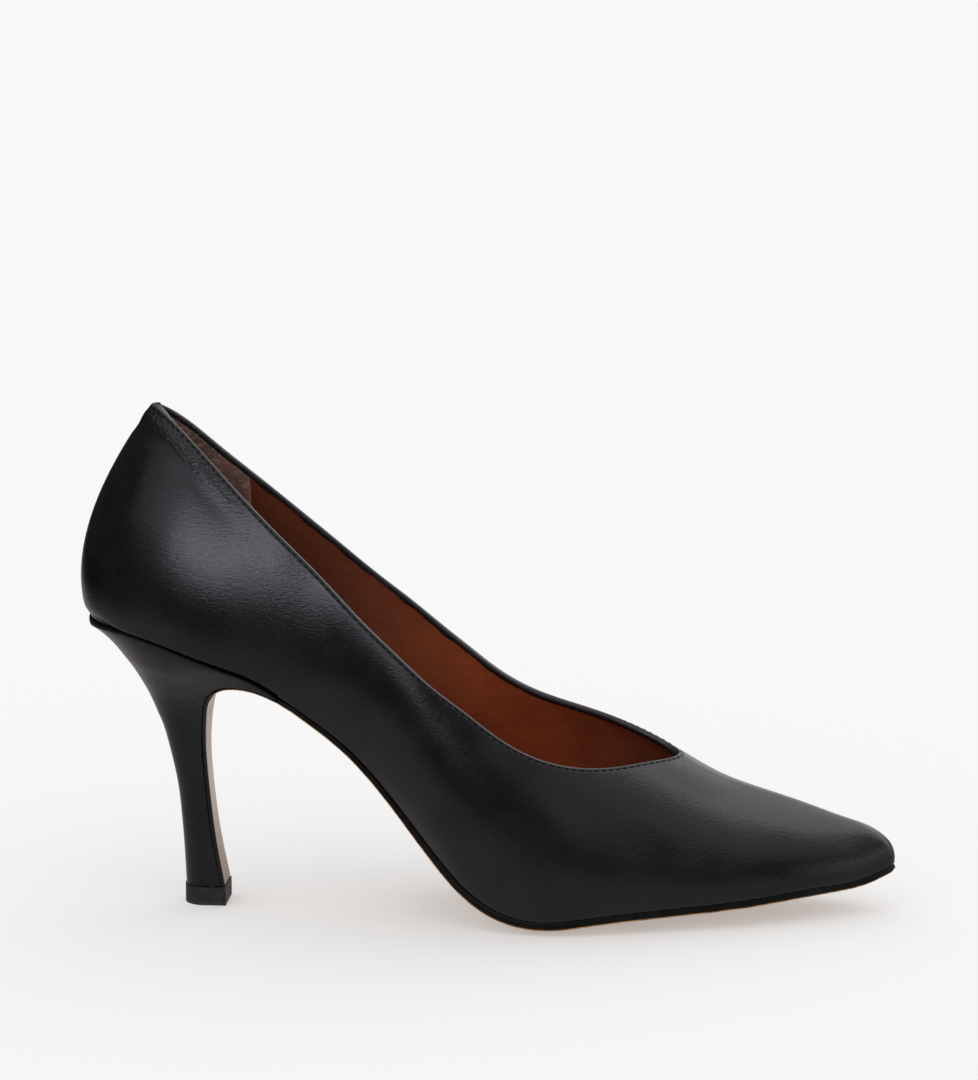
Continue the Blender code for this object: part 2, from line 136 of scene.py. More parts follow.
SECTIONS = (
    Section(x=1.5, seam=90.3, mid=0.0, outer=0.0, inner=0.0, flare=18, camber=0.0, sole=1.4),
    Section(x=14, seam=89.4, mid=0.0, outer=20.3, inner=20.0, flare=20, camber=0.0, sole=1.4),
    Section(x=28, seam=85.8, mid=0.0, outer=25.0, inner=24.5, flare=20, camber=0.0, sole=1.4),
    Section(x=42, seam=80.6, mid=0.0, outer=25.3, inner=24.6, flare=19, camber=0.0, sole=1.4),
    Section(x=56, seam=75.0, mid=0.0, outer=24.0, inner=22.3, flare=20, camber=0.0, sole=1.4),
    Section(x=70, seam=65.1, mid=0.0, outer=22.5, inner=19.4, flare=24, camber=0.0, sole=1.4),
    Section(x=84, seam=53.7, mid=0.0, outer=21.5, inner=17.6, flare=28, camber=0.0, sole=1.5),
    Section(x=98, seam=37.9, mid=0.0, outer=22.5, inner=18.5, flare=29, camber=0.0, sole=1.6),
    Section(x=110, seam=23.0, mid=0.0, outer=25.5, inner=22.6, flare=26, camber=0.2, sole=1.8),
    Section(x=120, seam=12.7, mid=0.0, outer=29.0, inner=27.6, flare=23, camber=0.6, sole=2.0),
    Section(x=130, seam=6.8, mid=0.0, outer=31.8, inner=32.4, flare=20, camber=1.0, sole=2.2),
    Section(x=142, seam=4.5, mid=0.1, outer=33.9, inner=36.2, flare=18, camber=1.6, sole=2.3),
    Section(x=158, seam=5.8, mid=0.4, outer=33.2, inner=36.6, flare=17, camber=1.6, sole=2.3),
    Section(x=180, seam=7.4, mid=1.2, outer=28.7, inner=31.4, flare=16, camber=1.2, sole=2.2),
    Section(x=205, seam=8.9, mid=2.6, outer=23.0, inner=22.6, flare=16, camber=0.9, sole=2.1),
    Section(x=228, seam=10.8, mid=4.0, outer=14.4, inner=13.0, flare=14, camber=0.5, sole=2.1),
    Section(x=240, seam=11.7, mid=4.7, outer=8.2, inner=7.4, flare=14, camber=0.3, sole=1.95),
    Section(x=250.1, seam=14.8, mid=5.2, outer=0.0, inner=0.0, flare=7, camber=0.2, sole=1.75),
)

CROWNS = (
    Crown(station=1.5, x=22.2, half=0.0, rise=66.1, lean=36, outer_cut=66.1, inner_cut=66.1),
    Crown(station=14, x=30.0, half=6.5, rise=64.0, lean=34, outer_cut=62.7, inner_cut=62.8),
    Crown(station=28, x=40.2, half=12.6, rise=58.4, lean=29, outer_cut=57.1, inner_cut=56.6),
    Crown(station=42, x=51.0, half=17.6, rise=52.6, lean=23, outer_cut=51.5, inner_cut=51.8),
    Crown(station=56, x=63.0, half=21.2, rise=47.8, lean=18, outer_cut=45.6, inner_cut=46.7),
    Crown(station=70, x=75.0, half=22.3, rise=49.2, lean=17, outer_cut=44.0, inner_cut=46.3),
    Crown(station=84, x=87.5, half=23.4, rise=53.8, lean=20, outer_cut=42.9, inner_cut=46.8),
    Crown(station=98, x=100.5, half=23.4, rise=61.1, lean=28, outer_cut=47.4, inner_cut=52.9),
    Crown(station=110, x=112.0, half=22.0, rise=67.6, lean=40, outer_cut=53.3, inner_cut=59.5),
    Crown(station=120, x=121.5, half=18.8, rise=71.8, lean=52, outer_cut=56.9, inner_cut=63.4),
    Crown(station=130, x=131.5, half=13.4, rise=72.6, lean=65, outer_cut=55.0, inner_cut=62.5),
    Crown(station=142, x=144.0, half=6.6, rise=67.8, lean=79, outer_cut=49.4, inner_cut=58.3),
    Crown(station=158, x=161.0, half=1.6, rise=56.6, lean=87, outer_cut=44.2, inner_cut=52.4),
    Crown(station=170, x=173.0, half=0.0, rise=49.0, lean=90, outer_cut=43.3, inner_cut=47.4),
    Crown(station=180, x=183.7, half=0.0, rise=42.2, lean=90, outer_cut=42.2, inner_cut=42.2),
    Crown(station=192, x=194.6, half=0.0, rise=35.4, lean=90, outer_cut=35.4, inner_cut=35.4),
    Crown(station=205, x=205.0, half=0.0, rise=30.4, lean=90, outer_cut=30.4, inner_cut=30.4),
    Crown(station=228, x=222.5, half=0.0, rise=22.6, lean=90, outer_cut=22.6, inner_cut=22.6),
    Crown(station=240, x=231.5, half=0.0, rise=18.3, lean=90, outer_cut=18.3, inner_cut=18.3),
    Crown(station=250.1, x=238.2, half=0.0, rise=12.9, lean=90, outer_cut=12.9, inner_cut=12.9),
)
THROAT_STATION = 180.0
RIDGE_STATION = 170.0

BREAST = (
    Breast(x=62.0, z=67.8, half=20.4),
    Breast(x=55.0, z=70.5, half=19.6),
    Breast(x=48.2, z=71.2, half=18.2),
    Breast(x=43.2, z=69.6, half=15.3),
    Breast(x=40.1, z=65.8, half=11.3),
    Breast(x=38.7, z=60.5, half=8.1),
    Breast(x=38.1, z=51.0, half=5.8),
    Breast(x=38.6, z=40.5, half=5.0),
    Breast(x=39.6, z=30.0, half=5.0),
    Breast(x=41.0, z=19.5, half=5.4),
    Breast(x=42.9, z=9.0, half=5.9),
    Breast(x=43.5, z=6.1, half=6.1),
)
FLAP_END = 10.7
SOLE_LEAVES_LAST = 68.0

LEVELS = (
    Level(x=2.1, z=88.9, breast=0.05, half=21.0, seat=1.0),
    Level(x=6.2, z=85.8, breast=0.8, half=22.0, seat=0.85),
    Level(x=9.8, z=82.3, breast=1.6, half=20.3, seat=0.6),
    Level(x=12.8, z=78.5, breast=2.4, half=18.2, seat=0.35),
    Level(x=15.4, z=74.8, breast=3.2, half=15.4, seat=0.15),
    Level(x=19.6, z=67.2, breast=4.2, half=11.4, seat=0.0),
    Level(x=22.2, z=61.0, breast=5.0, half=8.7, seat=0.0),
    Level(x=24.2, z=55.9, breast=5.5, half=7.4, seat=0.0),
    Level(x=26.2, z=48.3, breast=6.3, half=6.1, seat=0.0),
    Level(x=28.3, z=38.1, breast=7.3, half=5.5, seat=0.0),
    Level(x=29.4, z=27.9, breast=8.25, half=5.5, seat=0.0),
    Level(x=30.1, z=17.7, breast=9.2, half=5.9, seat=0.0),
    Level(x=30.6, z=6.1, breast=11.0, half=6.5, seat=0.0),
)


def column(table: Sequence[NamedTuple], name: str) -> np.ndarray:
    """Return one named column of a table."""
    return np.array([getattr(row, name) for row in table], float)


def spline(knots: np.ndarray, values: np.ndarray) -> Spline:
    """Fit a natural cubic spline.

    Args:
        knots: rising positions of the known values.
        values: the values there.

    Returns:
        A function that gives the value at any position.
    """
    step = np.diff(knots)
    slope = np.diff(values) / step
    system = np.eye(len(knots))
    right = np.zeros(len(knots))
    for i in range(1, len(knots) - 1):
        system[i, i - 1 : i + 2] = step[i - 1], 2 * (step[i - 1] + step[i]), step[i]
        right[i] = 6 * (slope[i] - slope[i - 1])
    bend = np.linalg.solve(system, right)

    def value(at: np.ndarray) -> np.ndarray:
        """Evaluate the spline.

        Args:
            at: one or more positions.

        Returns:
            The values there.
        """
        i = np.clip(np.searchsorted(knots, at) - 1, 0, len(step) - 1)
        ahead, behind = knots[i + 1] - at, at - knots[i]
        cubic = (bend[i] * ahead**3 + bend[i + 1] * behind**3) / (6 * step[i])
        linear = (values[i] / step[i] - bend[i] * step[i] / 6) * ahead
        return cubic + linear + (values[i + 1] / step[i] - bend[i + 1] * step[i] / 6) * behind

    return value


def splines(table: Sequence[NamedTuple], knots: np.ndarray, *names: str) -> list[Spline]:
    """Return a spline through each named column of a table."""
    return [spline(knots, column(table, name)) for name in names]


def unit(vectors: np.ndarray) -> np.ndarray:
    """Return vectors scaled to length one."""
    return vectors / np.maximum(np.linalg.norm(vectors, axis=-1, keepdims=True), 1e-12)


def smooth(value: np.ndarray, low: float, high: float) -> np.ndarray:
    """Return a smooth step from 0 at low to 1 at high."""
    t = np.clip((value - low) / (high - low), 0, 1)
    return t * t * (3 - 2 * t)


def bell(value: np.ndarray, centre: float, width: float) -> np.ndarray:
    """Return a smooth hump of height one."""
    return np.exp(-(((value - centre) / width) ** 2))


class Last:
    """The smooth form of the last that every piece of the shoe is drawn over."""

    low_handle = 0.34
    high_handle = 0.33
    nose_fullness = (0.03, 0.12)
    nose_start = 0.80
    ridge_slope = 0.36
    least_half = 0.3

    def __init__(self) -> None:
        """Fit the splines through the tables."""
        x, station = column(SECTIONS, "x"), column(CROWNS, "station")
        self.rear, self.toe = x[0], x[-1]
        self.seam, self.mid, self.camber, self.sole = splines(SECTIONS, x, "seam", "mid", "camber", "sole")
        self.half = dict(zip(Side, splines(SECTIONS, self.turn(x), "outer", "inner")))
        self.flare = spline(x, np.radians(column(SECTIONS, "flare")))
        self.crown_x, self.rise = splines(CROWNS, station, "x", "rise")
        self.open_half = spline(self.turn(station), column(CROWNS, "half"))
        self.lean = spline(station, np.radians(column(CROWNS, "lean")))
        self.throat = float(self.turn(np.array(THROAT_STATION)))
        self.ridge_start = float(self.turn(np.array(RIDGE_STATION)))
        cuts = [row for row in CROWNS if row.station <= THROAT_STATION]
        self.cut = dict(zip(Side, splines(cuts, column(cuts, "station"), "outer_cut", "inner_cut")))

    def turn(self, x: np.ndarray) -> np.ndarray:
        """Return the station of x as a share of a half turn, which rounds both ends of the outline."""
        return np.arccos(np.clip(1 - 2 * (x - self.rear) / (self.toe - self.rear), -1, 1)) / math.pi

    def station(self, turn: np.ndarray) -> np.ndarray:
        """Return x at stations given as shares of a half turn."""
        return self.rear + (self.toe - self.rear) * (1 - np.cos(math.pi * turn)) / 2

    def crown_half(self, turn: np.ndarray) -> np.ndarray:
        """Return half the way between a section's two crowns, which meet along the ridge of the vamp."""
        return np.where(turn < self.ridge_start, np.maximum(self.open_half(turn), 0.0), 0.0)

    def outward(self, turn: np.ndarray, side: Side, step: float = 1e-3) -> np.ndarray:
        """Return the outline's outward normals in plan.

        Args:
            turn: stations as shares of a half turn.
            side: the side of the shoe.
            step: distance of the two compared stations.

        Returns:
            One x and y for each station.
        """
        ends = [turn - step, turn + step]
        x = [self.station(t) for t in ends]
        y = [self.mid(at) + side * self.half[side](t) for at, t in zip(x, ends)]
        return unit(side * np.stack([y[0] - y[1], x[1] - x[0]], axis=-1))

    def outline(self, turn: np.ndarray, side: Side, inset: float | np.ndarray = 0.0) -> np.ndarray:
        """Follow the seam line in plan.

        Args:
            turn: stations as shares of a half turn.
            side: the side of the shoe.
            inset: how far inside the seam line the points lie.

        Returns:
            One x and y for each station.
        """
        x = self.station(turn)
        edge = np.stack([x, self.mid(x) + side * self.half[side](turn)], axis=-1)
        return edge - np.asarray(inset)[..., None] * self.outward(turn, side)

    def bed(self, x: np.ndarray, y: np.ndarray) -> np.ndarray:
        """Measure the foot bed, which dips between its edges by the camber.

        Args:
            x: places along the shoe.
            y: places across it.

        Returns:
            The height at each place.
        """
        turn = self.turn(x)
        offset = y - self.mid(x)
        half = np.where(offset < 0, self.half[Side.OUTER](turn), self.half[Side.INNER](turn))
        share = np.clip(np.abs(offset) / np.maximum(half, self.least_half), 0, 1)
        return self.seam(x) - self.camber(x) * (1 - share**2)

    def across(self, turn: np.ndarray, inset: float | np.ndarray, steps: int) -> np.ndarray:
        """Return points across the foot bed.

        Args:
            turn: stations as shares of a half turn.
            inset: how far inside the seam line the points end.
            steps: steps from the outer side to the inner side.

        Returns:
            Points by station and step.
        """
        edges = [self.outline(turn, side, inset) for side in Side]
        share = np.linspace(0, 1, steps + 1)[None, :, None]
        flat = edges[0][:, None] + share * (edges[1] - edges[0])[:, None]
        return np.concatenate([flat, self.bed(flat[..., 0], flat[..., 1])[..., None]], axis=2)

    def raised(self, x: np.ndarray) -> np.ndarray:
        """Return the way up out of the foot bed at each x."""
        climb = (self.seam(x + 1) - self.seam(x - 1)) / 2
        return unit(np.stack([-climb, np.zeros_like(x), np.ones_like(x)], axis=1))

    def wall(self, turn: np.ndarray, side: Side, share: np.ndarray) -> np.ndarray:
        """Return points of the wall.

        Args:
            turn: one station for each column.
            side: the side of the shoe.
            share: a row of heights for each column, from 0 at the seam to 1 at the crown.

        Returns:
            Points by column and row.
        """
        x = self.station(turn)
        out = self.outward(turn, side)
        foot = np.column_stack([self.outline(turn, side), self.seam(x)])
        top_x = self.crown_x(x)
        top_y = self.mid(top_x) + side * self.crown_half(turn)
        crown = np.column_stack([top_x, top_y, self.seam(x) + self.rise(x)])
        reach = np.linalg.norm(crown - foot, axis=1)[:, None]
        flare, lean = self.flare(x)[:, None], self.lean(x)[:, None]
        leaning = np.hstack([np.sin(flare) * out, np.cos(flare)])
        level = np.column_stack([out, -self.ridge_slope * np.maximum(out[:, 0], 0.0)])
        arching = np.sin(lean) * level - np.cos(lean) * np.array([0, 0, 1.0])
        nose = smooth(turn, self.nose_start, 1.0)[:, None]
        low = foot + (self.low_handle + self.nose_fullness[0] * nose) * reach * leaning
        high = crown + (self.high_handle + self.nose_fullness[1] * nose) * reach * arching
        s = share[..., None]
        corners = [p[:, None, :] for p in (foot, low, high, crown)]
        weights = [(1 - s) ** 3, 3 * s * (1 - s) ** 2, 3 * s**2 * (1 - s), s**3]
        return sum(weight * corner for weight, corner in zip(weights, corners))

    def topline(self, turn: np.ndarray, side: Side, samples: int = 240) -> np.ndarray:
        """Find where the topline cuts the wall.

        Args:
            turn: stations as shares of a half turn.
            side: the side of the shoe.
            samples: heights tried on each wall.

        Returns:
            How far up its wall each station is cut, 1 past the throat.
        """
        share = np.tile(np.linspace(0, 1, samples), (len(turn), 1))
        height = self.wall(turn, side, share)[..., 2]
        x = self.station(turn)
        goal = self.seam(x) + self.cut[side](np.minimum(x, THROAT_STATION))
        found = [np.interp(g, h, s) for g, h, s in zip(goal, height, share)]
        return np.where(turn >= self.throat - 1e-9, 1.0, np.array(found))

    def collar(self, samples: int = 900) -> np.ndarray:
        """Follow the topline.

        Args:
            samples: points on each side.

        Returns:
            Points from the throat round the heel and back.
        """
        turn = np.linspace(0, self.throat, samples)
        sides = [self.wall(turn, s, self.topline(turn, s)[:, None])[:, 0] for s in Side]
        return np.vstack([sides[1][::-1], sides[0][1:]])


class BreastLine:
    """The sole's lower face in side view, from the arch round the fillet and down the breast of the heel."""

    def __init__(self) -> None:
        """Fit the splines through the table."""
        rows = np.arange(len(BREAST), dtype=float)
        self.x, self.z, self.half = splines(BREAST, rows, "x", "z", "half")

    def face(self, row: np.ndarray, step: float = 1e-3) -> np.ndarray:
        """Return the way out of the lower face, as x and z."""
        along = [f(row + step) - f(row - step) for f in (self.x, self.z)]
        return unit(np.stack([-along[1], along[0]], axis=-1))

    def point(self, row: np.ndarray, inset: float) -> np.ndarray:
        """Return x and z at rows, moved by inset from the lower face into the heel."""
        return np.stack([self.x(row), self.z(row)], axis=-1) - inset * self.face(row)


class Skin:
    """Collects the grids and strips of one closed mesh and turns them into a finished piece."""

    def __init__(self, name: str) -> None:
        """Start an empty mesh.

        Args:
            name: the piece's name.
        """
        self.name = name
        self.points: list[np.ndarray] = []
        self.faces: list[np.ndarray] = []
        self.slots: list[np.ndarray] = []
        self.marks: list[np.ndarray] = []
        self.count = 0

    def add(self, points: np.ndarray, mark: np.ndarray | float = 0.0) -> np.ndarray:
        """Add points without faces.

        Args:
            points: points of any grid shape, in millimetres on the last.
            mark: a value kept at each point, for the finish.

        Returns:
            The index of each point, in the same grid shape.
        """
        shape = points.shape[:-1]
        self.points.append(points.reshape(-1, 3))
        self.marks.append(np.broadcast_to(mark, shape).reshape(-1))
        index = np.arange(self.count, self.count + int(np.prod(shape))).reshape(shape)
        self.count += index.size
        return index

    def cover(self, index: np.ndarray, material: int | np.ndarray = 0, ring: bool = False) -> None:
        """Cover a grid of point indices with faces.

        Args:
            index: indices by column and row.
            material: the material of all faces, or one for each strip between two rows.
            ring: whether the last row joins the first.
        """
        if ring:
            index = np.concatenate([index, index[:, :1]], axis=1)
        quads = np.stack([index[:-1, :-1], index[1:, :-1], index[1:, 1:], index[:-1, 1:]], axis=-1)
        self.faces.append(quads.reshape(-1, 4))
        self.slots.append(np.broadcast_to(material, quads.shape[:2]).reshape(-1))

    def cap(self, ring: np.ndarray, material: int = 0) -> None:
        """Close a ring of an even count with a strip between its two halves.

        Args:
            ring: the indices round the ring.
            material: the material of its faces.
        """
        count = len(ring)
        pairs = np.stack([ring[: count // 2 + 1], np.append(ring[0], ring[: count // 2 - 1 : -1])], axis=1)
        self.cover(pairs, material)

    def sheet(self, layers: Sequence[np.ndarray], cuts: Sequence[Any]) -> None:
        """Add the two faces of a thin sheet and close it.

        Args:
            layers: the points of the two faces.
            cuts: the rows and columns along which they are joined.
        """
        sides = [self.add(layer) for layer in layers]
        for side in sides:
            self.cover(side)
        for cut in cuts:
            self.cover(np.stack([side[cut] for side in sides], axis=1))

    def piece(
        self, place: Vector, materials: Sequence[bpy.types.Material], mark: str = ""
    ) -> bpy.types.Object:
        """Make the mesh and its object.

        Args:
            place: the last's origin in the frame, in metres.
            materials: the finishes, in the order of the faces' numbers.
            mark: the name of the attribute for the kept values, if the finish reads it.

        Returns:
            The finished object at the origin, smooth, closed and facing outwards.
        """
        points = np.concatenate(self.points) * MM + np.array(place)
        corners = [tuple(dict.fromkeys(face)) for face in np.concatenate(self.faces).tolist()]
        slots = np.array([slot for slot, face in zip(np.concatenate(self.slots), corners) if len(face) > 2])
        mesh = bpy.data.meshes.new(self.name)
        mesh.from_pydata(points.tolist(), [], [face for face in corners if len(face) > 2])
        mesh.polygons.foreach_set("material_index", slots.astype(np.int32))
        if mark:
            values = np.concatenate(self.marks).astype(np.float32)
            mesh.attributes.new(mark, "FLOAT", "POINT").data.foreach_set("value", values)
        for finish in materials:
            mesh.materials.append(finish)
        return new_piece(mesh)


def add_object(name: str, data: bpy.types.ID) -> bpy.types.Object:
    """Link a new object into the scene.

    Args:
        name: the object's name.
        data: its mesh, lamp or camera.

    Returns:
        The object.
    """
    made = bpy.data.objects.new(name, data)
    bpy.context.scene.collection.objects.link(made)
    return made


def new_piece(mesh: bpy.types.Mesh, merge: float = 2e-6, sharp: float = 42.0) -> bpy.types.Object:
    """Clean a mesh and link its object.

    Args:
        mesh: the raw mesh, in metres.
        merge: distance under which points are one, in metres.
        sharp: angle past which an edge stays hard, in degrees.

    Returns:
        The object, at the origin.
    """
    bm = bmesh.new()
    bm.from_mesh(mesh)
    bmesh.ops.remove_doubles(bm, verts=bm.verts, dist=merge)
    bmesh.ops.dissolve_degenerate(bm, dist=merge / 10, edges=bm.edges)
    bmesh.ops.recalc_face_normals(bm, faces=bm.faces)
    bm.to_mesh(mesh)
    bm.free()
    mesh.shade_smooth()
    mesh.set_sharp_from_angle(angle=math.radians(sharp))
    return add_object(mesh.name, mesh)


def dress(piece: bpy.types.Object, slot: Slot, *nodes: str) -> bpy.types.Object:
    """Put a piece on the shoe's body.

    Args:
        piece: the finished piece.
        slot: its material slot; not used.
        nodes: the solids that it stands for.

    Returns:
        The same piece.
    """
    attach(piece, BODY)
    if nodes:
        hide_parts(*nodes)
    LOG.info("%s: %d faces", piece.name, len(piece.data.polygons))
    return piece


class NodeKit:
    """Adds nodes to one tree."""

    def __init__(self, tree: bpy.types.NodeTree) -> None:
        """Take the tree to build in."""
        self.tree = tree

    def node(self, kind: str, settings: Settings = None, sockets: Sockets = None) -> bpy.types.Node:
        """Add one node.

        Args:
            kind: the node's type.
            settings: its own settings, set first.
            sockets: values or links for its inputs, by name or number.

        Returns:
            The new node.
        """
        made = self.tree.nodes.new(kind)
        for name, value in (settings or {}).items():
            setattr(made, name, value)
        self.feed(made, sockets or {})
        return made

    def feed(self, node: bpy.types.Node, sockets: dict[Any, Any]) -> None:
        """Set or link a node's inputs.

        Args:
            node: the node.
            sockets: values or links by the input's name or number.
        """
        for name, value in sockets.items():
            if isinstance(value, Shade):
                value = value.socket
            if isinstance(value, bpy.types.NodeSocket):
                self.tree.links.new(value, node.inputs[name])
            else:
                node.inputs[name].default_value = value


class Shade:
    """A value in a material's node tree; arithmetic on it adds Math nodes."""

    def __init__(self, graph: "Graph", socket: bpy.types.NodeSocket) -> None:
        """Wrap an output socket."""
        self.graph, self.socket = graph, socket

    def _math(self, operation: str, *values: "Shade | float") -> "Shade":
        """Add one Math node and wrap its result."""
        node = self.graph.node("ShaderNodeMath", {"operation": operation}, dict(enumerate(values)))
        return Shade(self.graph, node.outputs[0])

    def __add__(self, other: "Shade | float") -> "Shade":
        """Add."""
        return self._math("ADD", self, other)

    def __sub__(self, other: "Shade | float") -> "Shade":
        """Subtract."""
        return self._math("SUBTRACT", self, other)

    def __rsub__(self, other: float) -> "Shade":
        """Subtract from a number."""
        return self._math("SUBTRACT", other, self)

    def __mul__(self, other: "Shade | float") -> "Shade":
        """Multiply."""
        return self._math("MULTIPLY", self, other)

    __radd__ = __add__
    __rmul__ = __mul__

    def band(self, low: float, high: float) -> "Shade":
        """Add a smooth step.

        Args:
            low: where it starts from 0.
            high: where it reaches 1.

        Returns:
            The step.
        """
        sockets = {"Value": self, "From Min": low, "From Max": high}
        node = self.graph.node("ShaderNodeMapRange", {"interpolation_type": "SMOOTHSTEP"}, sockets)
        return Shade(self.graph, node.outputs["Result"])

    def between(self, rise: Span, fall: Span) -> "Shade":
        """Return 1 between a smooth rise and a smooth fall, and 0 outside them."""
        return self.band(*rise) * (1.0 - self.band(*fall))


class Graph(NodeKit):
    """One material and the nodes that make its finish."""

    mix_ends = (6, 7)
    mix_result = 2

    def __init__(self, name: str) -> None:
        """Start from a plain Principled material.

        Args:
            name: the material's name.
        """
        self.material = bpy.data.materials.new(name)
        self.material.use_nodes = True
        super().__init__(self.material.node_tree)
        self.shader = self.tree.nodes["Principled BSDF"]

    def own(self) -> bpy.types.NodeSocket:
        """Return the piece's own coordinates, in metres."""
        return self.node("ShaderNodeTexCoord").outputs["Object"]

    def coords(self, stretch: Triple = (1, 1, 1), turn: Triple = (0, 0, 0)) -> bpy.types.NodeSocket:
        """Return the piece's own coordinates, stretched and turned."""
        sockets = {"Vector": self.own(), "Scale": stretch, "Rotation": turn}
        return self.node("ShaderNodeMapping", None, sockets).outputs[0]

    def place(self, axis: Axis) -> Shade:
        """Return one of the piece's own coordinates, in metres."""
        return Shade(self, self.node("ShaderNodeSeparateXYZ", None, {0: self.own()}).outputs[axis.value])

    def noise(self, scale: float, detail: float = 3.0, rough: float = 0.5, **coords: Triple) -> Shade:
        """Return cloudy noise, with scale in waves to the metre."""
        sockets = {"Vector": self.coords(**coords), "Scale": scale, "Detail": detail, "Roughness": rough}
        return Shade(self, self.node("ShaderNodeTexNoise", None, sockets).outputs[0])

    def cells(self, scale: float, **coords: Triple) -> Shade:
        """Add a pattern of softly bordered cells.

        Args:
            scale: cells to the metre.
            coords: how the pattern is stretched and turned.

        Returns:
            The distance from each cell's middle.
        """
        sockets = {"Vector": self.coords(**coords), "Scale": scale}
        node = self.node("ShaderNodeTexVoronoi", {"feature": "SMOOTH_F1"}, sockets)
        return Shade(self, node.outputs["Distance"])

    def mark(self, name: str) -> Shade:
        """Return a value kept at the piece's points."""
        return Shade(self, self.node("ShaderNodeAttribute", {"attribute_name": name}).outputs["Fac"])

    def mix(self, factor: Shade, *ends: Triple | bpy.types.NodeSocket) -> bpy.types.NodeSocket:
        """Mix two colours.

        Args:
            factor: 0 for the first and 1 for the second.
            ends: the two colours.

        Returns:
            The mixed colour.
        """
        linked = bpy.types.NodeSocket
        colours = [end if isinstance(end, linked) else rgba(end) for end in ends]
        sockets = {0: factor, **dict(zip(self.mix_ends, colours))}
        return self.node("ShaderNodeMix", {"data_type": "RGBA"}, sockets).outputs[self.mix_result]

    def bump(self, *layers: tuple[Shade, float]) -> bpy.types.NodeSocket:
        """Turn layers of height into one normal.

        Args:
            layers: each layer's height and its depth in millimetres.

        Returns:
            The normal.
        """
        normal = None
        for height, depth in layers:
            sockets = {"Height": height, "Distance": depth * MM, "Strength": 1.0}
            if normal is not None:
                sockets["Normal"] = normal
            normal = self.node("ShaderNodeBump", None, sockets).outputs[0]
        return normal

    def finish(self, **sockets: Any) -> bpy.types.Material:
        """Set the shader's inputs, with underscores for spaces, and return the material."""
        self.feed(self.shader, {name.replace("_", " "): value for name, value in sockets.items()})
        return self.material


def rgba(colour: Sequence[float]) -> tuple[float, float, float, float]:
    """Return an opaque colour."""
    return (*colour, 1.0)


@dataclass(frozen=True)
class Finish:
    """A finish whose colour lies between a dark and a light tone."""

    name: str
    dark: Triple
    light: Triple

    def tone(self, graph: Graph, mask: Shade) -> bpy.types.NodeSocket:
        """Return the colour, dark where the mask is 0 and light where it is 1."""
        return graph.mix(mask, self.dark, self.light)


@dataclass(frozen=True)
class SmoothCalf(Finish):
    """Black calf leather with a satin dressing, a fine grain, and edges made lighter by burnishing and by a
    painted highlight along the crest.
    """

    dark: Triple = (0.0044, 0.0044, 0.0048)
    light: Triple = (0.0074, 0.0074, 0.0080)
    # Colour of the fold's crest: burnished wear and a painted highlight.
    burnish_and_highlight: Triple = (0.036, 0.029, 0.030)
    roughness: float = 0.265
    specular: float = 0.30
    sheen_tint: Triple = (1.0, 0.985, 1.06)
    swell: float = 0.10
    grain: float = 0.030
    streak: float = 0.075
    pebble: float = 0.62
    pores_per_metre: float = 2300.0
    edge_mark: str = ""
    crest: Span = (0.12, 0.50)
    groove_rise: Span = (0.42, 0.92)
    groove_fall: Span = (1.27, 1.82)
    gather_edge: Span = (3.5, 7.5)
    gather_back: Span = (-0.097, -0.066)
    calm_rise: Span = (-0.07, -0.03)
    calm_fall: Span = (0.02, 0.06)
    calm_share: float = 0.6

    def material(self) -> bpy.types.Material:
        """Build the leather's nodes.

        Returns:
            The material.
        """
        graph = Graph(self.name)
        clouds = graph.noise(60.0, detail=4.0)
        streaks = graph.noise(1050.0, detail=2.5, rough=0.6, stretch=(0.5, 0.5, 1.6))
        pores = graph.cells(self.pores_per_metre, stretch=(0.7, 0.7, 1.3))
        swell = graph.noise(34.0, detail=2.0)
        colour = self.tone(graph, clouds.band(0.35, 0.65))
        rough = self.roughness + 0.12 * (streaks - 0.5) + 0.08 * (clouds - 0.5)
        if self.edge_mark:
            edge, along = graph.mark(self.edge_mark), graph.place(Axis.X)
            # The crest of the fold is lighter: partly burnished wear, partly a painted highlight.
            colour = graph.mix(1.0 - edge.band(*self.crest), colour, self.burnish_and_highlight)
            rough = rough + 0.24 * edge.between(self.groove_rise, self.groove_fall)
            gathered = (1.0 - edge.band(*self.gather_edge)) * (1.0 - along.band(*self.gather_back))
            pebbles = graph.noise(1000.0, detail=2.0, stretch=(0.8, 0.8, 1.3))
            calm = 1.0 - self.calm_share * along.between(self.calm_rise, self.calm_fall)
            streaks = streaks * calm + (self.pebble / self.streak) * (gathered * pebbles)
        return graph.finish(
            Base_Color=colour,
            Roughness=rough,
            Normal=graph.bump((swell, self.swell), (streaks, self.streak), (pores, self.grain)),
            Specular_IOR_Level=self.specular,
            Specular_Tint=rgba(self.sheen_tint),
        )


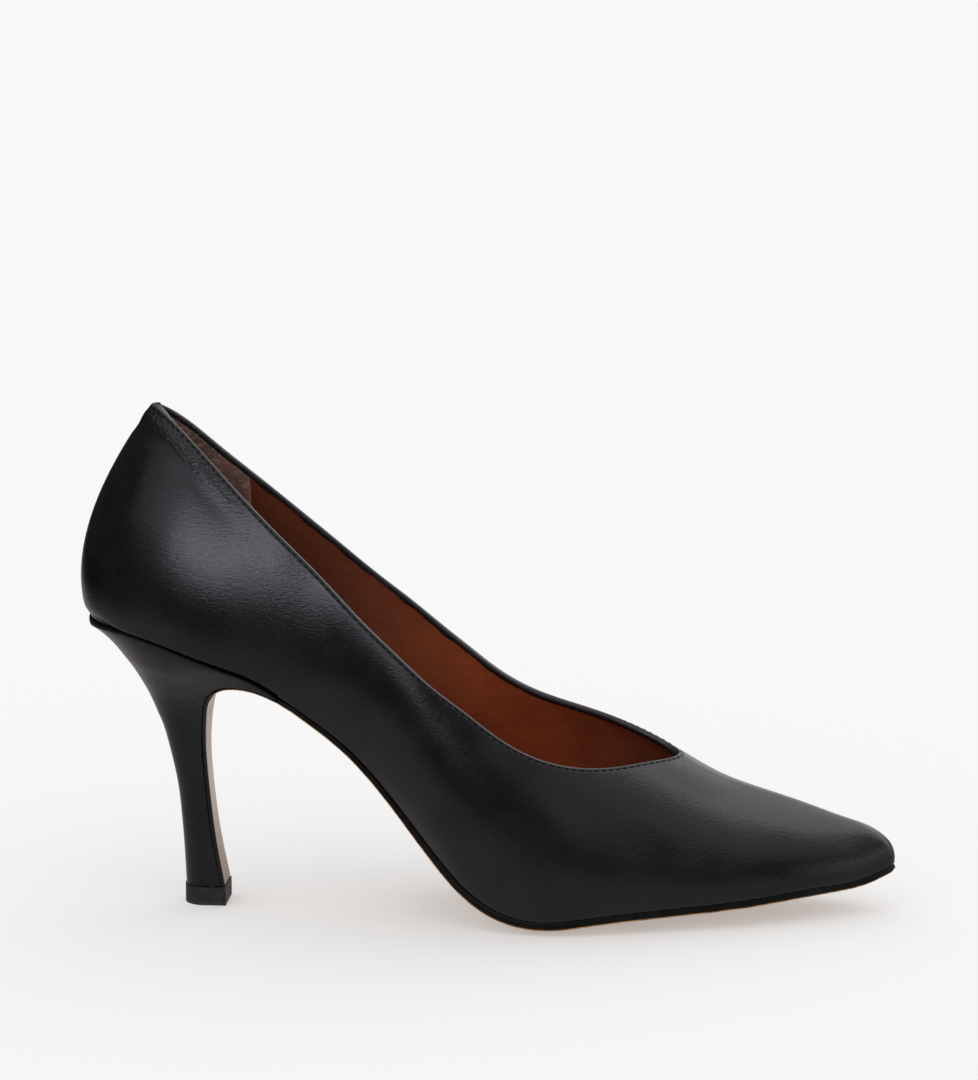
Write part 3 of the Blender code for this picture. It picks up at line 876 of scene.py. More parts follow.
@dataclass(frozen=True)
class LiningLeather(Finish):
    """Cognac-tan lining leather, matt, with cloudy colour and faint wrinkles, and painted shade towards the
    back and deep in the toe.
    """

    dark: Triple = (0.245, 0.058, 0.0190)
    light: Triple = (0.385, 0.096, 0.0310)
    # Painted shade: a darker tone towards the back, and a greyer one deep in the toe.
    shaded: Triple = (0.116, 0.031, 0.0145)
    toe_shade: Triple = (0.120, 0.074, 0.056)
    roughness: float = 0.60
    wrinkle: float = 0.34
    grain: float = 0.02
    shaded_end: Span = (-0.050, 0.012)
    toe_shade_start: Span = (0.016, 0.066)
    toe_shade_share: float = 0.60

    def material(self) -> bpy.types.Material:
        """Build the lining's nodes.

        Returns:
            The material.
        """
        graph = Graph(self.name)
        clouds = graph.noise(48.0, detail=5.0, rough=0.55)
        specks = graph.noise(1500.0, detail=2.0)
        pores = graph.cells(1900.0)
        wrinkles = graph.noise(120.0, stretch=(0.6, 1.0, 2.0))
        along = graph.place(Axis.X)
        tan = self.tone(graph, (0.75 * clouds + 0.25 * specks).band(0.32, 0.68))
        # Painted shade: darker towards the back of the shoe.
        painted_shade_tone = graph.mix(along.band(*self.shaded_end), self.shaded, tan)
        return graph.finish(
            # Painted shade: darker and greyer deep in the toe.
            Base_Color=graph.mix(self.toe_shade_share * along.band(*self.toe_shade_start), painted_shade_tone, self.toe_shade),
            Roughness=self.roughness + 0.14 * (specks - 0.5),
            Normal=graph.bump((wrinkles, self.wrinkle), (pores, self.grain)),
            Specular_IOR_Level=0.08,
        )


@dataclass(frozen=True)
class SuedeGrip(Finish):
    """Brown suede of the heel grip, with a brushed nap."""

    dark: Triple = (0.085, 0.040, 0.026)
    light: Triple = (0.235, 0.130, 0.092)
    fleck: Triple = (0.36, 0.255, 0.20)
    roughness: float = 0.92

    def material(self) -> bpy.types.Material:
        """Build the suede's nodes.

        Returns:
            The material.
        """
        graph = Graph(self.name)
        brushed = graph.noise(95.0, detail=4.0, rough=0.6, stretch=(1.0, 1.0, 0.5))
        fibres = graph.noise(2600.0, detail=3.0, rough=0.7, stretch=(1.0, 1.0, 0.35))
        flecks = graph.noise(520.0, detail=5.0, rough=0.75, stretch=(0.7, 0.7, 1.5), turn=(0.0, 0.72, 0.0))
        nap = self.tone(graph, (0.6 * brushed + 0.4 * fibres).band(0.34, 0.66))
        return graph.finish(
            Base_Color=graph.mix(flecks.band(0.50, 0.70), nap, self.fleck),
            Roughness=self.roughness + 0.06 * (fibres - 0.5),
            Normal=graph.bump((brushed, 0.05), (fibres, 0.06)),
            Specular_IOR_Level=0.15,
            Sheen_Weight=0.35,
            Sheen_Roughness=0.5,
        )


@dataclass(frozen=True)
class SoleLeather(Finish):
    """Beige sole leather with fibres along the shoe, paler up the breast of the heel with painted light,
    rubbed darker at the floor.
    """

    dark: Triple = (0.265, 0.180, 0.135)
    light: Triple = (0.40, 0.290, 0.225)
    rubbed: Triple = (0.22, 0.145, 0.105)
    # Painted light on the breast of the heel.
    painted_breast_light: Triple = (0.70, 0.600, 0.530)
    roughness: float = 0.50
    rub_height: float = 2.2
    painted_light_rise: Span = (0.004, 0.045)
    painted_light_end: Span = (-0.080, -0.068)

    def material(self) -> bpy.types.Material:
        """Build the sole's nodes.

        Returns:
            The material.
        """
        graph = Graph(self.name)
        fibres = graph.noise(900.0, detail=4.0, rough=0.6, stretch=(0.12, 1.0, 1.0))
        clouds = graph.noise(42.0, detail=4.0)
        height = graph.place(Axis.Z)
        low = 1.0 - height.band(0.0, self.rub_height * MM)
        scuffs = graph.noise(240.0, detail=5.0, rough=0.7, stretch=(0.5, 1.6, 1.0)).band(0.42, 0.70)
        bare = self.tone(graph, (0.55 * fibres + 0.45 * clouds).band(0.30, 0.70))
        # Painted light: paler as the breast of the heel rises.
        breast = height.band(*self.painted_light_rise) * (1.0 - graph.place(Axis.X).band(*self.painted_light_end))
        colour = graph.mix(breast, bare, self.painted_breast_light)
        return graph.finish(
            Base_Color=graph.mix(low * scuffs, colour, self.rubbed),
            Roughness=self.roughness + 0.16 * (fibres - 0.5) + 0.12 * low,
            Normal=graph.bump((fibres, 0.03), (scuffs, 0.02)),
            Specular_IOR_Level=0.4,
        )


@dataclass(frozen=True)
class EdgePaint(Finish):
    """Black edge paint, slightly uneven, over a cut leather edge."""

    dark: Triple = (0.0030, 0.0028, 0.0026)
    light: Triple = (0.0075, 0.0068, 0.0062)
    roughness: float = 0.52

    def material(self) -> bpy.types.Material:
        """Build the paint's nodes.

        Returns:
            The material.
        """
        graph = Graph(self.name)
        layers = graph.noise(700.0, detail=3.0, rough=0.6, stretch=(0.25, 0.25, 2.5))
        brush = graph.noise(130.0, detail=3.0)
        return graph.finish(
            Base_Color=self.tone(graph, brush.band(0.3, 0.7)),
            Roughness=self.roughness + 0.2 * (brush - 0.5),
            Normal=graph.bump((layers, 0.04), (brush, 0.05)),
            Specular_IOR_Level=0.10,
        )


@dataclass(frozen=True)
class RawEdge(Finish):
    """Golden-brown leather that shows through at the sole's lower corner."""

    dark: Triple = (0.16, 0.075, 0.028)
    light: Triple = (0.50, 0.27, 0.105)
    roughness: float = 0.62

    def material(self) -> bpy.types.Material:
        """Build the corner's nodes.

        Returns:
            The material.
        """
        graph = Graph(self.name)
        rubbed = graph.noise(260.0, detail=4.0, rough=0.6, stretch=(0.4, 1.0, 1.0))
        fibres = graph.noise(1600.0, detail=3.0, rough=0.6)
        return graph.finish(
            Base_Color=self.tone(graph, rubbed.band(0.36, 0.62)),
            Roughness=self.roughness + 0.2 * (fibres - 0.5),
            Normal=graph.bump((fibres, 0.04)),
            Specular_IOR_Level=0.25,
        )


@dataclass(frozen=True)
class TopPieceRubber(Finish):
    """Matt black rubber of the heel's top piece, scuffed at the floor."""

    dark: Triple = (0.008, 0.008, 0.0075)
    light: Triple = (0.019, 0.019, 0.0175)
    dusty: Triple = (0.050, 0.048, 0.044)
    roughness: float = 0.62
    dust_height: Span = (0.0002, 0.0016)

    def material(self) -> bpy.types.Material:
        """Build the rubber's nodes.

        Returns:
            The material.
        """
        graph = Graph(self.name)
        specks = graph.noise(2200.0, detail=3.0, rough=0.7)
        clouds = graph.noise(260.0, detail=3.0)
        low = (1.0 - graph.place(Axis.Z).band(*self.dust_height)) * specks.band(0.35, 0.65)
        return graph.finish(
            Base_Color=graph.mix(low, self.tone(graph, clouds.band(0.3, 0.7)), self.dusty),
            Roughness=self.roughness + 0.2 * (specks - 0.5),
            Normal=graph.bump((specks, 0.03)),
            Specular_IOR_Level=0.35,
        )


@dataclass(frozen=True)
class Thread(Finish):
    """Black waxed sewing thread with its twist."""

    dark: Triple = (0.0020, 0.0020, 0.0022)
    light: Triple = (0.0050, 0.0050, 0.0054)
    roughness: float = 0.75

    def material(self) -> bpy.types.Material:
        """Build the thread's nodes.

        Returns:
            The material.
        """
        graph = Graph(self.name)
        twist = graph.noise(3200.0, detail=2.0, rough=0.5, stretch=(1.0, 1.0, 0.4), turn=(0.0, 0.6, 0.0))
        return graph.finish(
            Base_Color=self.tone(graph, twist.band(0.35, 0.65)),
            Roughness=self.roughness + 0.2 * (twist - 0.5),
            Normal=graph.bump((twist, 0.03)),
            Specular_IOR_Level=0.04,
        )


@dataclass(frozen=True)
class StudioPaper(Finish):
    """Pale backlit paper under the shoe, plain or running into shade in front of it."""

    dark: Triple = (0.56145, 0.591, 0.6107)
    light: Triple = (0.57, 0.60, 0.62)
    glow: Triple = (0.35, 0.32, 0.30)
    shaded: bool = False
    shade: Triple = (0.05, 0.05, 0.05)
    unlit: Triple = (0.0, 0.0, 0.0)
    front: Span = (-0.29, -0.155)
    left: Span = (-0.46, -0.24)
    slant: float = 0.2

    def material(self) -> bpy.types.Material:
        """Build the paper's nodes.

        Returns:
            The material.
        """
        graph = Graph(self.name)
        paper, glow = self.tone(graph, graph.noise(300.0)), rgba(self.glow)
        if self.shaded:
            ahead, across = graph.place(Axis.Y), graph.place(Axis.X)
            lit = ahead.band(*self.front) * (across + self.slant * ahead).band(*self.left)
            paper = graph.mix(lit, self.shade, paper)
            glow = graph.mix(lit, self.unlit, self.glow)
        return graph.finish(
            Base_Color=paper,
            Emission_Color=glow,
            Emission_Strength=1.0,
            Roughness=0.9,
            Specular_IOR_Level=0.0,
        )


class WallGrid:
    """A grid over the wall of the last, from just below the topline down to the seam.

    Columns run from the toe along the inner side, round the heel and along the outer side back to the toe.
    """

    vertex_run = 9.0
    dense = 240
    least_slant = 0.4
    seam_rows = np.array([2.4, 1.8, 1.3, 0.9, 0.6, 0.35, 0.15, 0.0])

    def __init__(
        self, last: Last, trim: float, columns: tuple[int, int], rows: np.ndarray, middle: int
    ) -> None:
        """Lay out the grid.

        Args:
            last: the form to follow.
            trim: how far below the topline the grid starts, easing to nothing at the throat.
            columns: columns on one side along the quarter and along the vamp.
            rows: depths of the first rows below the start.
            middle: rows between those and the close rows at the seam.
        """
        self.last = last
        quarter = np.linspace(0, last.throat, columns[0] + 1)
        vamp = np.linspace(last.throat, 1, columns[1] + 1)[1:]
        self.turns = np.concatenate([quarter, vamp])
        self.count = len(self.turns)
        outer, inner = (self._side(side, trim, rows, middle) for side in Side)
        self.points = np.concatenate([inner[::-1], outer[1:]])
        self.heel = self.count - 1
        self.loop = slice(self.heel - columns[0], self.heel + columns[0] + 1)
        self.normals = self._normals()

    def _side(self, side: Side, trim: float, rows: np.ndarray, middle: int) -> np.ndarray:
        """Lay out one side.

        Args:
            side: the side of the shoe.
            trim: how far below the topline it starts.
            rows: depths of the first rows below the start.
            middle: rows between those and the close rows at the seam.

        Returns:
            Points by column and row, from the heel to the toe and from the top down.
        """
        last, turns = self.last, self.turns
        share = last.topline(turns, side)[:, None] * np.linspace(0, 1, self.dense)[None]
        points = last.wall(turns, side, share)
        climb = np.linalg.norm(np.diff(points, axis=1), axis=2)
        height = np.concatenate([np.zeros((self.count, 1)), np.cumsum(climb, axis=1)], axis=1)
        top = points[:, -1]
        along = unit(np.gradient(top, axis=0))
        up = unit(points[:, -1] - points[:, -2])
        slant = np.linalg.norm(np.cross(along, up), axis=1)
        vertex = last.wall(np.array([last.throat]), side, np.ones((1, 1)))[0, 0]
        ease = smooth(np.linalg.norm(top - vertex, axis=1), 0.0, self.vertex_run)
        start = np.where(turns < last.throat, trim * ease / np.maximum(slant, self.least_slant), 0.0)
        total = height[:, -1]
        found = []
        for i in range(self.count):
            first, final = start[i] + rows, total[i] - self.seam_rows
            body = np.linspace(first[-1], final[0], middle + 2)[1:-1]
            depth = np.concatenate([first, body, final])
            found.append(np.interp(total[i] - depth, height[i], share[i]))
        return last.wall(turns, side, np.array(found))

    def _normals(self) -> np.ndarray:
        """Work out the grid's normals.

        Returns:
            Outward normals by column and row, shared along the ridge and the toe.
        """
        points = self.points
        wide = np.concatenate([points[-2:-1], points, points[1:2]])
        across = wide[2:] - wide[:-2]
        down = np.gradient(points, axis=1)
        normals = unit(np.cross(across, down))
        outer_column, some_row = self.heel + self.count // 3, 5
        if normals[outer_column, some_row, 1] > 0:
            normals = -normals
        top = normals[:, 0]
        ridge = unit(top + top[::-1])
        ahead = np.concatenate([self.turns[::-1], self.turns[1:]]) >= self.last.throat
        normals[ahead, 0] = ridge[ahead]
        return normals

    def offset(self, depth: float, rows: slice | np.ndarray = slice(None)) -> np.ndarray:
        """Return the grid moved inwards along its normals."""
        return self.points[:, rows] - depth * self.normals[:, rows]


@dataclass
class Upper:
    """The upper: black calf folded over the topline, tan lining, suede heel grip and stitches."""

    last: Last
    place: Vector
    leather: float = 1.0
    columns: tuple[int, int] = (170, 84)
    top_rows: int = 17
    top_depth: float = 3.0
    middle_rows: int = 46
    fold_rise: float = 0.80
    fold_reach: float = 0.8
    fold_gap: float = 0.08
    fold_thickness: float = 0.36
    fold_step: float = 0.04
    fold_step_end: Span = (0.7, 1.1)
    ragged_share: float = 0.7
    ragged_waves: tuple[Triple, ...] = ((0.22, 2.9, 0.0), (0.15, 1.3, 1.0), (0.14, 6.1, 2.0))
    crest_depth: float = 1.3
    inside_mark: float = 1.0
    unseen_mark: float = 9.0
    back_cap: Span = (0.45, 0.20)
    back_end: Span = (23.0, 32.0)
    pad_rise: float = 0.22
    pad_crest: Span = (4.2, 1.8)
    pad_dip: Span = (8.2, 2.2)
    pad_end: Span = (28.0, 54.0)
    seam_roll: float = 0.25
    seam_roll_end: Span = (222.0, 246.0)
    heel_roll: float = 1.95
    heel_roll_end: Span = (3.0, 17.0)
    roll_height: Span = (1.2, 4.0)
    stitch_depth: float = 1.12
    stitch_dip: Span = (0.08, 0.30)
    stitch_pitch: float = 2.4
    stitch_length: float = 1.5
    thread_radius: float = 0.20
    thread_lift: float = 0.06
    lining_columns: tuple[int, int] = (120, 56)
    lining_rows: int = 40
    lining_top_rows: int = 5
    lining_top_depth: float = 2.4
    lining_trim: float = 1.2
    lining_gap: float = 0.06
    lining_depth: float = 1.66
    grip_columns: int = 60
    grip_rows: int = 44
    grip_grid_columns: tuple[int, int] = (150, 8)
    grip_top_rows: int = 4
    grip_top_depth: float = 1.5
    grip_trim: float = 1.55
    grip_layers: Span = (0.02, 0.50)
    grip_end: float = 49.5
    grip_bunching: float = 1.4
    grip_thin_columns: float = 3.0
    grip_thin_share: float = 0.35
    grid: WallGrid = field(init=False)
    edge_distance: np.ndarray = field(init=False)

    def __post_init__(self) -> None:
        """Lay out the outer grid and measure each point's distance from the topline."""
        rows = np.linspace(0, self.top_depth, self.top_rows)
        self.grid = WallGrid(self.last, self.fold_rise, self.columns, rows, self.middle_rows)
        collar = self.last.collar()
        tree = KDTree(len(collar))
        for i, point in enumerate(collar):
            tree.insert(Vector(point), i)
        tree.balance()
        flat = self.grid.points.reshape(-1, 3)
        found = [tree.find(Vector(point))[2] for point in flat]
        self.edge_distance = np.array(found).reshape(self.grid.points.shape[:2])

    def relief(self) -> np.ndarray:
        """Work out the leather's relief.

        Returns:
            How far the leather stands proud at each point of the grid, in millimetres.
        """
        edge, x = self.edge_distance, self.grid.points[..., 0]
        back = 1 - smooth(x, *self.pad_end)
        crest, dip = (self.pad_rise * bell(edge, *hump) for hump in (self.pad_crest, self.pad_dip))
        fold = self.fold_step * (1 - smooth(edge, *self.fold_step_end))
        fold = fold - self.stitch_dip[0] * bell(edge, self.stitch_depth, self.stitch_dip[1])
        rise = np.linalg.norm(self.grid.points - self.grid.points[:, -1:], axis=2)
        heel = 1 - smooth(x, *self.heel_roll_end)
        side = self.seam_roll * (1 - smooth(x, *self.seam_roll_end))
        fade = np.clip(1 - rise / (self.roll_height[0] + self.roll_height[1] * heel), 0, 1) ** 2
        return back * (crest - dip) + fold - (side + self.heel_roll * heel) * fade

    def loop_frames(self) -> tuple[np.ndarray, np.ndarray, np.ndarray]:
        """Follow the grid's top edge.

        Returns:
            Points, normals and the way up out of the leather.
        """
        grid, lower_row, sharpest = self.grid, 4, 0.35
        points, normals = grid.points[grid.loop, 0], grid.normals[grid.loop, 0]
        along = unit(np.gradient(points, axis=0))
        up = np.cross(along, normals)
        below = grid.points[grid.loop, lower_row] - points
        up = unit(up * -np.sign(np.sum(up * below, axis=1))[:, None])
        corner = unit(up[1] + up[-2])
        up[0] = up[-1] = corner / max(float(corner @ up[1]), sharpest)
        return points, normals, up

    def fold_profile(self) -> np.ndarray:
        """Draw the folded edge's section, from outside over the top and down inside.

        Returns:
            A depth and a rise for each point.
        """
        rise, reach = self.fold_rise, self.fold_reach
        back = self.lining_depth + self.fold_gap
        face = back + self.fold_thickness
        return np.array([
            (0.04, 0.34 * rise), (0.20, 0.66 * rise), (0.48, 0.88 * rise), (0.85, 0.985 * rise),
            (1.15, 1.0 * rise), (1.50, 0.94 * rise), (1.80, 0.76 * rise), (face - 0.08, 0.40 * rise),
            (face, -0.06), (face + 0.02, -0.30 * reach), (face + 0.02, -0.55 * reach),
            (face + 0.02, -0.78 * reach), (face, -0.90 * reach), (face - 0.06, -0.97 * reach),
            (face - 0.18, -reach), (back + 0.06, -0.98 * reach), (back, -0.90 * reach),
            (back - 0.02, -0.6 * reach), (back - 0.04, -0.3 * reach), (back - 0.25, -0.08),
        ])

    def fold_rings(self) -> np.ndarray:
        """Lead the folded edge along the topline.

        Returns:
            Points by column and place on the section.
        """
        points, normals, up = self.loop_frames()
        vertex = points[0]
        ease = smooth(np.linalg.norm(points - vertex, axis=1), 0.0, WallGrid.vertex_run)
        run = np.concatenate([[0], np.cumsum(np.linalg.norm(np.diff(points, axis=0), axis=1))])
        wave = ease * sum(size * np.sin(run / length + shift) for size, length, shift in self.ragged_waves)
        back = (1 - smooth(points[:, 0], *self.back_end))[:, None]
        level = unit(normals * (1, 1, 0))
        inwards = -unit(normals + back * (level - normals)) * (1 + self.back_cap[0] * back)
        rings = []
        for depth, rise in self.fold_profile():
            height = rise * ease if rise > 0 else np.full_like(ease, rise)
            if rise < -self.ragged_share * self.fold_reach:
                height = height + wave
            height = height[:, None] * (1 + self.back_cap[1] * back)
            rings.append(points + depth * inwards + height * up)
        folded = np.stack(rings, axis=1)
        crossed = (points[:, None, 0] < self.back_end[1]) & (folded[..., 1] * points[:, None, 1] < 0)
        folded[crossed, 1] = 0.0
        return folded

    def build_leather(self, calf: bpy.types.Material) -> bpy.types.Object:
        """Build the outer leather as one closed skin, with its edge folded over the topline.

        Args:
            calf: the upper's finish.

        Returns:
            The finished object at the origin.
        """
        grid = self.grid
        skin = Skin("upper_leather")
        outer = skin.add(grid.points + self.relief()[..., None] * grid.normals, self.edge_distance)
        final, few = grid.points.shape[1] - 1, 12
        close = [0, self.top_rows // 2, self.top_rows - 1]
        rows = np.concatenate([close, np.linspace(self.top_rows + 3, final, few).astype(int)])
        inner = skin.add(grid.offset(self.leather, rows), self.unseen_mark)
        depth, rise = self.fold_profile().T
        edge = np.where(depth < self.crest_depth, np.abs(rise - self.fold_rise), self.inside_mark)
        strip = skin.add(self.fold_rings(), edge[None, :])
        skin.cover(outer)
        skin.cover(inner)
        skin.cover(np.concatenate([outer[grid.loop, :1], strip, inner[grid.loop, :1]], axis=1))
        skin.cover(np.stack([outer[:, -1], inner[:, -1]], axis=1))
        return skin.piece(self.place, [calf], EDGE_MARK)

    def build_lining(self, tan: bpy.types.Material) -> bpy.types.Object:
        """Build the lining as a thin closed skin behind the leather, tucked under the fold.

        Args:
            tan: the lining's finish.

        Returns:
            The finished object at the origin.
        """
        rows = np.linspace(0, self.lining_top_depth, self.lining_top_rows)
        grid = WallGrid(self.last, self.lining_trim, self.lining_columns, rows, self.lining_rows)
        depths = (self.leather + self.lining_gap, self.lining_depth)
        skin = Skin("lining")
        skin.sheet([grid.offset(depth) for depth in depths], [np.s_[grid.loop, 0], np.s_[:, -1]])
        return skin.piece(self.place, [tan])

    def _grip_half(self, part: np.ndarray) -> np.ndarray:
        """Cut one half of a layer of the grip.

        Args:
            part: the layer's points from the back forwards.

        Returns:
            Points from the back to the upright front edge.
        """
        x = part[..., 0]
        share = np.linspace(0, 1, self.grip_columns + 1)[:, None]
        goal = x[0][None] + (self.grip_end - x[0][None]) * (1 - (1 - share) ** self.grip_bunching)
        half = np.empty((self.grip_columns + 1, part.shape[1], 3))
        for row, axis in np.ndindex(part.shape[1], 3):
            half[:, row, axis] = np.interp(goal[:, row], x[:, row], part[:, row, axis])
        return half

    def build_grip(self, suede: bpy.types.Material) -> bpy.types.Object:
        """Build the suede heel grip, a thin patch inside the back with an upright edge on each side.

        Args:
            suede: the grip's finish.

        Returns:
            The finished object at the origin.
        """
        rows = np.linspace(0, self.grip_top_depth, self.grip_top_rows)
        grid = WallGrid(self.last, self.grip_trim, self.grip_grid_columns, rows, self.grip_rows)
        layers = []
        for depth in self.grip_layers:
            moved = grid.offset(self.lining_depth + depth)
            inner, outer = self._grip_half(moved[grid.heel :: -1]), self._grip_half(moved[grid.heel :])
            layers.append(np.concatenate([inner[::-1], outer[1:]]))
        count = np.arange(len(layers[0]))
        soft = np.minimum(np.minimum(count, count[::-1]) / self.grip_thin_columns, 1.0)[:, None, None] ** 0.5
        thin = self.grip_thin_share
        layers[1] = layers[0] + (layers[1] - layers[0]) * (thin + (1 - thin) * soft)
        skin = Skin("heel_grip")
        skin.sheet(layers, [np.s_[:, 0], np.s_[:, -1], np.s_[0], np.s_[-1]])
        return skin.piece(self.place, [suede])

    def stitch_path(self) -> tuple[np.ndarray, np.ndarray]:
        """Follow the stitch line on the outside.

        Returns:
            Its points and the way out of the leather there.
        """
        grid = self.grid
        points = grid.points + (self.relief() + self.thread_lift)[..., None] * grid.normals
        path, away = [], []
        for i in range(points.shape[0]):
            edge = self.edge_distance[i, : self.top_rows]
            if edge[0] > self.stitch_depth or edge[-1] < self.stitch_depth:
                continue
            row = np.interp(self.stitch_depth, edge, np.arange(self.top_rows))
            low = min(int(row), self.top_rows - 2)
            part = row - low
            for found, values in ((path, points), (away, grid.normals)):
                found.append((1 - part) * values[i, low] + part * values[i, low + 1])
        return np.array(path), unit(np.array(away))

    def inside_path(self) -> tuple[np.ndarray, np.ndarray]:
        """Follow the stitch line on the fold inside.

        Returns:
            Its points and the way out of the leather there.
        """
        points, normals, up = self.loop_frames()
        face = self.lining_depth + self.fold_gap + self.fold_thickness + self.thread_lift
        fall = self.stitch_depth - self.fold_rise
        keep = slice(2, -2)
        return (points - face * normals - fall * up)[keep], -normals[keep]

    def build_stitches(self, thread: bpy.types.Material) -> list[bpy.types.Object]:
        """Build the stitches outside and inside along the topline.

        Args:
            thread: the thread's finish.

        Returns:
            The two rows of stitches.
        """
        rows = {"topline_stitches": self.stitch_path(), "inside_stitches": self.inside_path()}
        sizes = StitchSizes(self.stitch_pitch, self.stitch_length, self.thread_radius)
        return [StitchRow(name, sizes).build(*path, self.place, thread) for name, path in rows.items()]


class StitchSizes(NamedTuple):
    """Sizes of one row of stitches, in millimetres."""

    pitch: float
    length: float
    radius: float


@dataclass
class StitchRow:
    """A row of stitches set along a path by Geometry Nodes."""

    name: str
    sizes: StitchSizes
    flatness: float = 0.8
    segments: int = 8
    rings: int = 6
    away_mark: str = "away"

    def tree(self) -> bpy.types.NodeTree:
        """Build the tree that sets a stitch at each pitch, turned along the path and out of the leather.

        Returns:
            The tree.
        """
        group = bpy.data.node_groups.new(self.name, "GeometryNodeTree")
        kinds = {"Geometry": "Geometry", **dict.fromkeys(StitchSizes._fields, "Float"), "Finish": "Material"}
        for label, kind in kinds.items():
            group.interface.new_socket(label, in_out="INPUT", socket_type="NodeSocket" + kind)
        group.interface.new_socket("Geometry", in_out="OUTPUT", socket_type="NodeSocketGeometry")
        kit = NodeKit(group)

        def put(kind: str, settings: Settings = None, **sockets: Any) -> bpy.types.NodeSocket:
            """Add one node, with its inputs by name, and return its first output."""
            return kit.node(kind, settings, sockets).outputs[0]

        given = kit.node("NodeGroupInput").outputs
        times = {"operation": "MULTIPLY"}
        flat = kit.node("ShaderNodeMath", times, {0: given["radius"], 1: self.flatness}).outputs[0]
        half = kit.node("ShaderNodeMath", times, {0: given["length"], 1: 0.5}).outputs[0]
        size = put("ShaderNodeCombineXYZ", X=half, Y=given["radius"], Z=flat)
        curve = put("GeometryNodeMeshToCurve", Mesh=given["Geometry"])
        even = put("GeometryNodeResampleCurve", {"mode": "LENGTH"}, Curve=curve, Length=given["pitch"])
        bead = put("GeometryNodeMeshUVSphere", Segments=self.segments, Rings=self.rings, Radius=1.0)
        shaped = put("GeometryNodeTransform", Geometry=bead, Scale=size)
        away = put("GeometryNodeInputNamedAttribute", {"data_type": "FLOAT_VECTOR"}, Name=self.away_mark)
        axes = {"primary_axis": "X", "secondary_axis": "Z"}
        tangent = put("GeometryNodeInputTangent")
        turned = kit.node("FunctionNodeAxesToRotation", axes, {0: tangent, 1: away}).outputs[0]
        row = put("GeometryNodeInstanceOnPoints", Points=even, Instance=shaped, Rotation=turned)
        plain = put("GeometryNodeRealizeInstances", Geometry=row)
        soft = put("GeometryNodeSetShadeSmooth", Geometry=plain)
        done = put("GeometryNodeSetMaterial", Geometry=soft, Material=given["Finish"])
        kit.node("NodeGroupOutput", None, {0: done})
        return group

    def build(
        self, path: np.ndarray, away: np.ndarray, place: Vector, thread: bpy.types.Material
    ) -> bpy.types.Object:
        """Build the row as a plain mesh.

        Args:
            path: points of the stitch line, in millimetres on the last.
            away: the way out of the leather at each point.
            place: the last's origin in the frame, in metres.
            thread: the thread's finish.

        Returns:
            The finished object at the origin.
        """
        line = bpy.data.meshes.new(self.name + "_path")
        points = path * MM + np.array(place)
        line.from_pydata(points.tolist(), [(i, i + 1) for i in range(len(points) - 1)], [])
        ways = line.attributes.new(self.away_mark, "FLOAT_VECTOR", "POINT")
        ways.data.foreach_set("vector", away.astype(np.float32).ravel())
        carrier = add_object(line.name, line)
        modifier = carrier.modifiers.new("stitches", "NODES")
        modifier.node_group = self.tree()
        values = {name: size * MM for name, size in self.sizes._asdict().items()}
        values["Finish"] = thread
        for item in modifier.node_group.interface.items_tree:
            if item.in_out == "INPUT" and item.name in values:
                modifier[item.identifier] = values[item.name]
        graph = bpy.context.evaluated_depsgraph_get()
        mesh = bpy.data.meshes.new_from_object(carrier.evaluated_get(graph))
        carrier.modifiers.remove(modifier)
        bpy.data.objects.remove(carrier)
        mesh.name = self.name
        return add_object(self.name, mesh)


@dataclass
class Sock:
    """The tan sock that lies on the insole inside the shoe."""

    last: Last
    place: Vector
    thickness: float = 2.0
    low_inset: float = 2.0
    top_inset: float = 1.35
    rim_steps: tuple[Span, ...] = ((0.10, 0.12), (0.0, 0.45))
    top_round: float = 0.45
    stations: int = 150
    steps: int = 34
    end: float = 0.985

    def build(self, tan: bpy.types.Material) -> bpy.types.Object:
        """Build the sock as one closed strip with softly rounded edges.

        Args:
            tan: the sock's finish.

        Returns:
            The finished object at the origin.
        """
        last = self.last
        turns = np.linspace(1 - self.end, self.end, self.stations)
        x = last.station(turns)
        raised = last.raised(x)[:, None]
        spread = np.tan(np.maximum(last.flare(x), 0.0))
        skin = Skin("sock")

        def strip(inset: float, lift: float) -> np.ndarray:
            """Return points across the foot bed at one height, out to the leaning wall."""
            return last.across(turns, inset - lift * spread, self.steps) + lift * raised

        top = skin.add(strip(self.top_inset + self.top_round, self.thickness))
        low = skin.add(strip(self.low_inset, 0.0))
        rims = [strip(self.top_inset + inset, self.thickness - drop) for inset, drop in self.rim_steps]
        rim = [skin.add(points[:, [0, -1]]) for points in rims]
        ring = np.concatenate(
            [top, rim[0][:, 1:], rim[1][:, 1:], low[:, ::-1], rim[1][:, :1], rim[0][:, :1]], axis=1
        )
        skin.cover(ring, ring=True)
        for end in (0, -1):
            skin.cover(np.stack([top[end], low[end]], axis=1))
            for edge, corner in ((0, 0), (1, -1)):
                chain = [top[end, corner], rim[0][end, edge], rim[1][end, edge], low[end, corner]]
                skin.cover(np.array(chain).reshape(2, 2))
        return skin.piece(self.place, [tan])


class SoleFinish(IntEnum):
    """The finishes of the sole's faces, in the order of its materials."""

    LEATHER = 0
    PAINT = 1
    RAW = 2
    COVER = 3


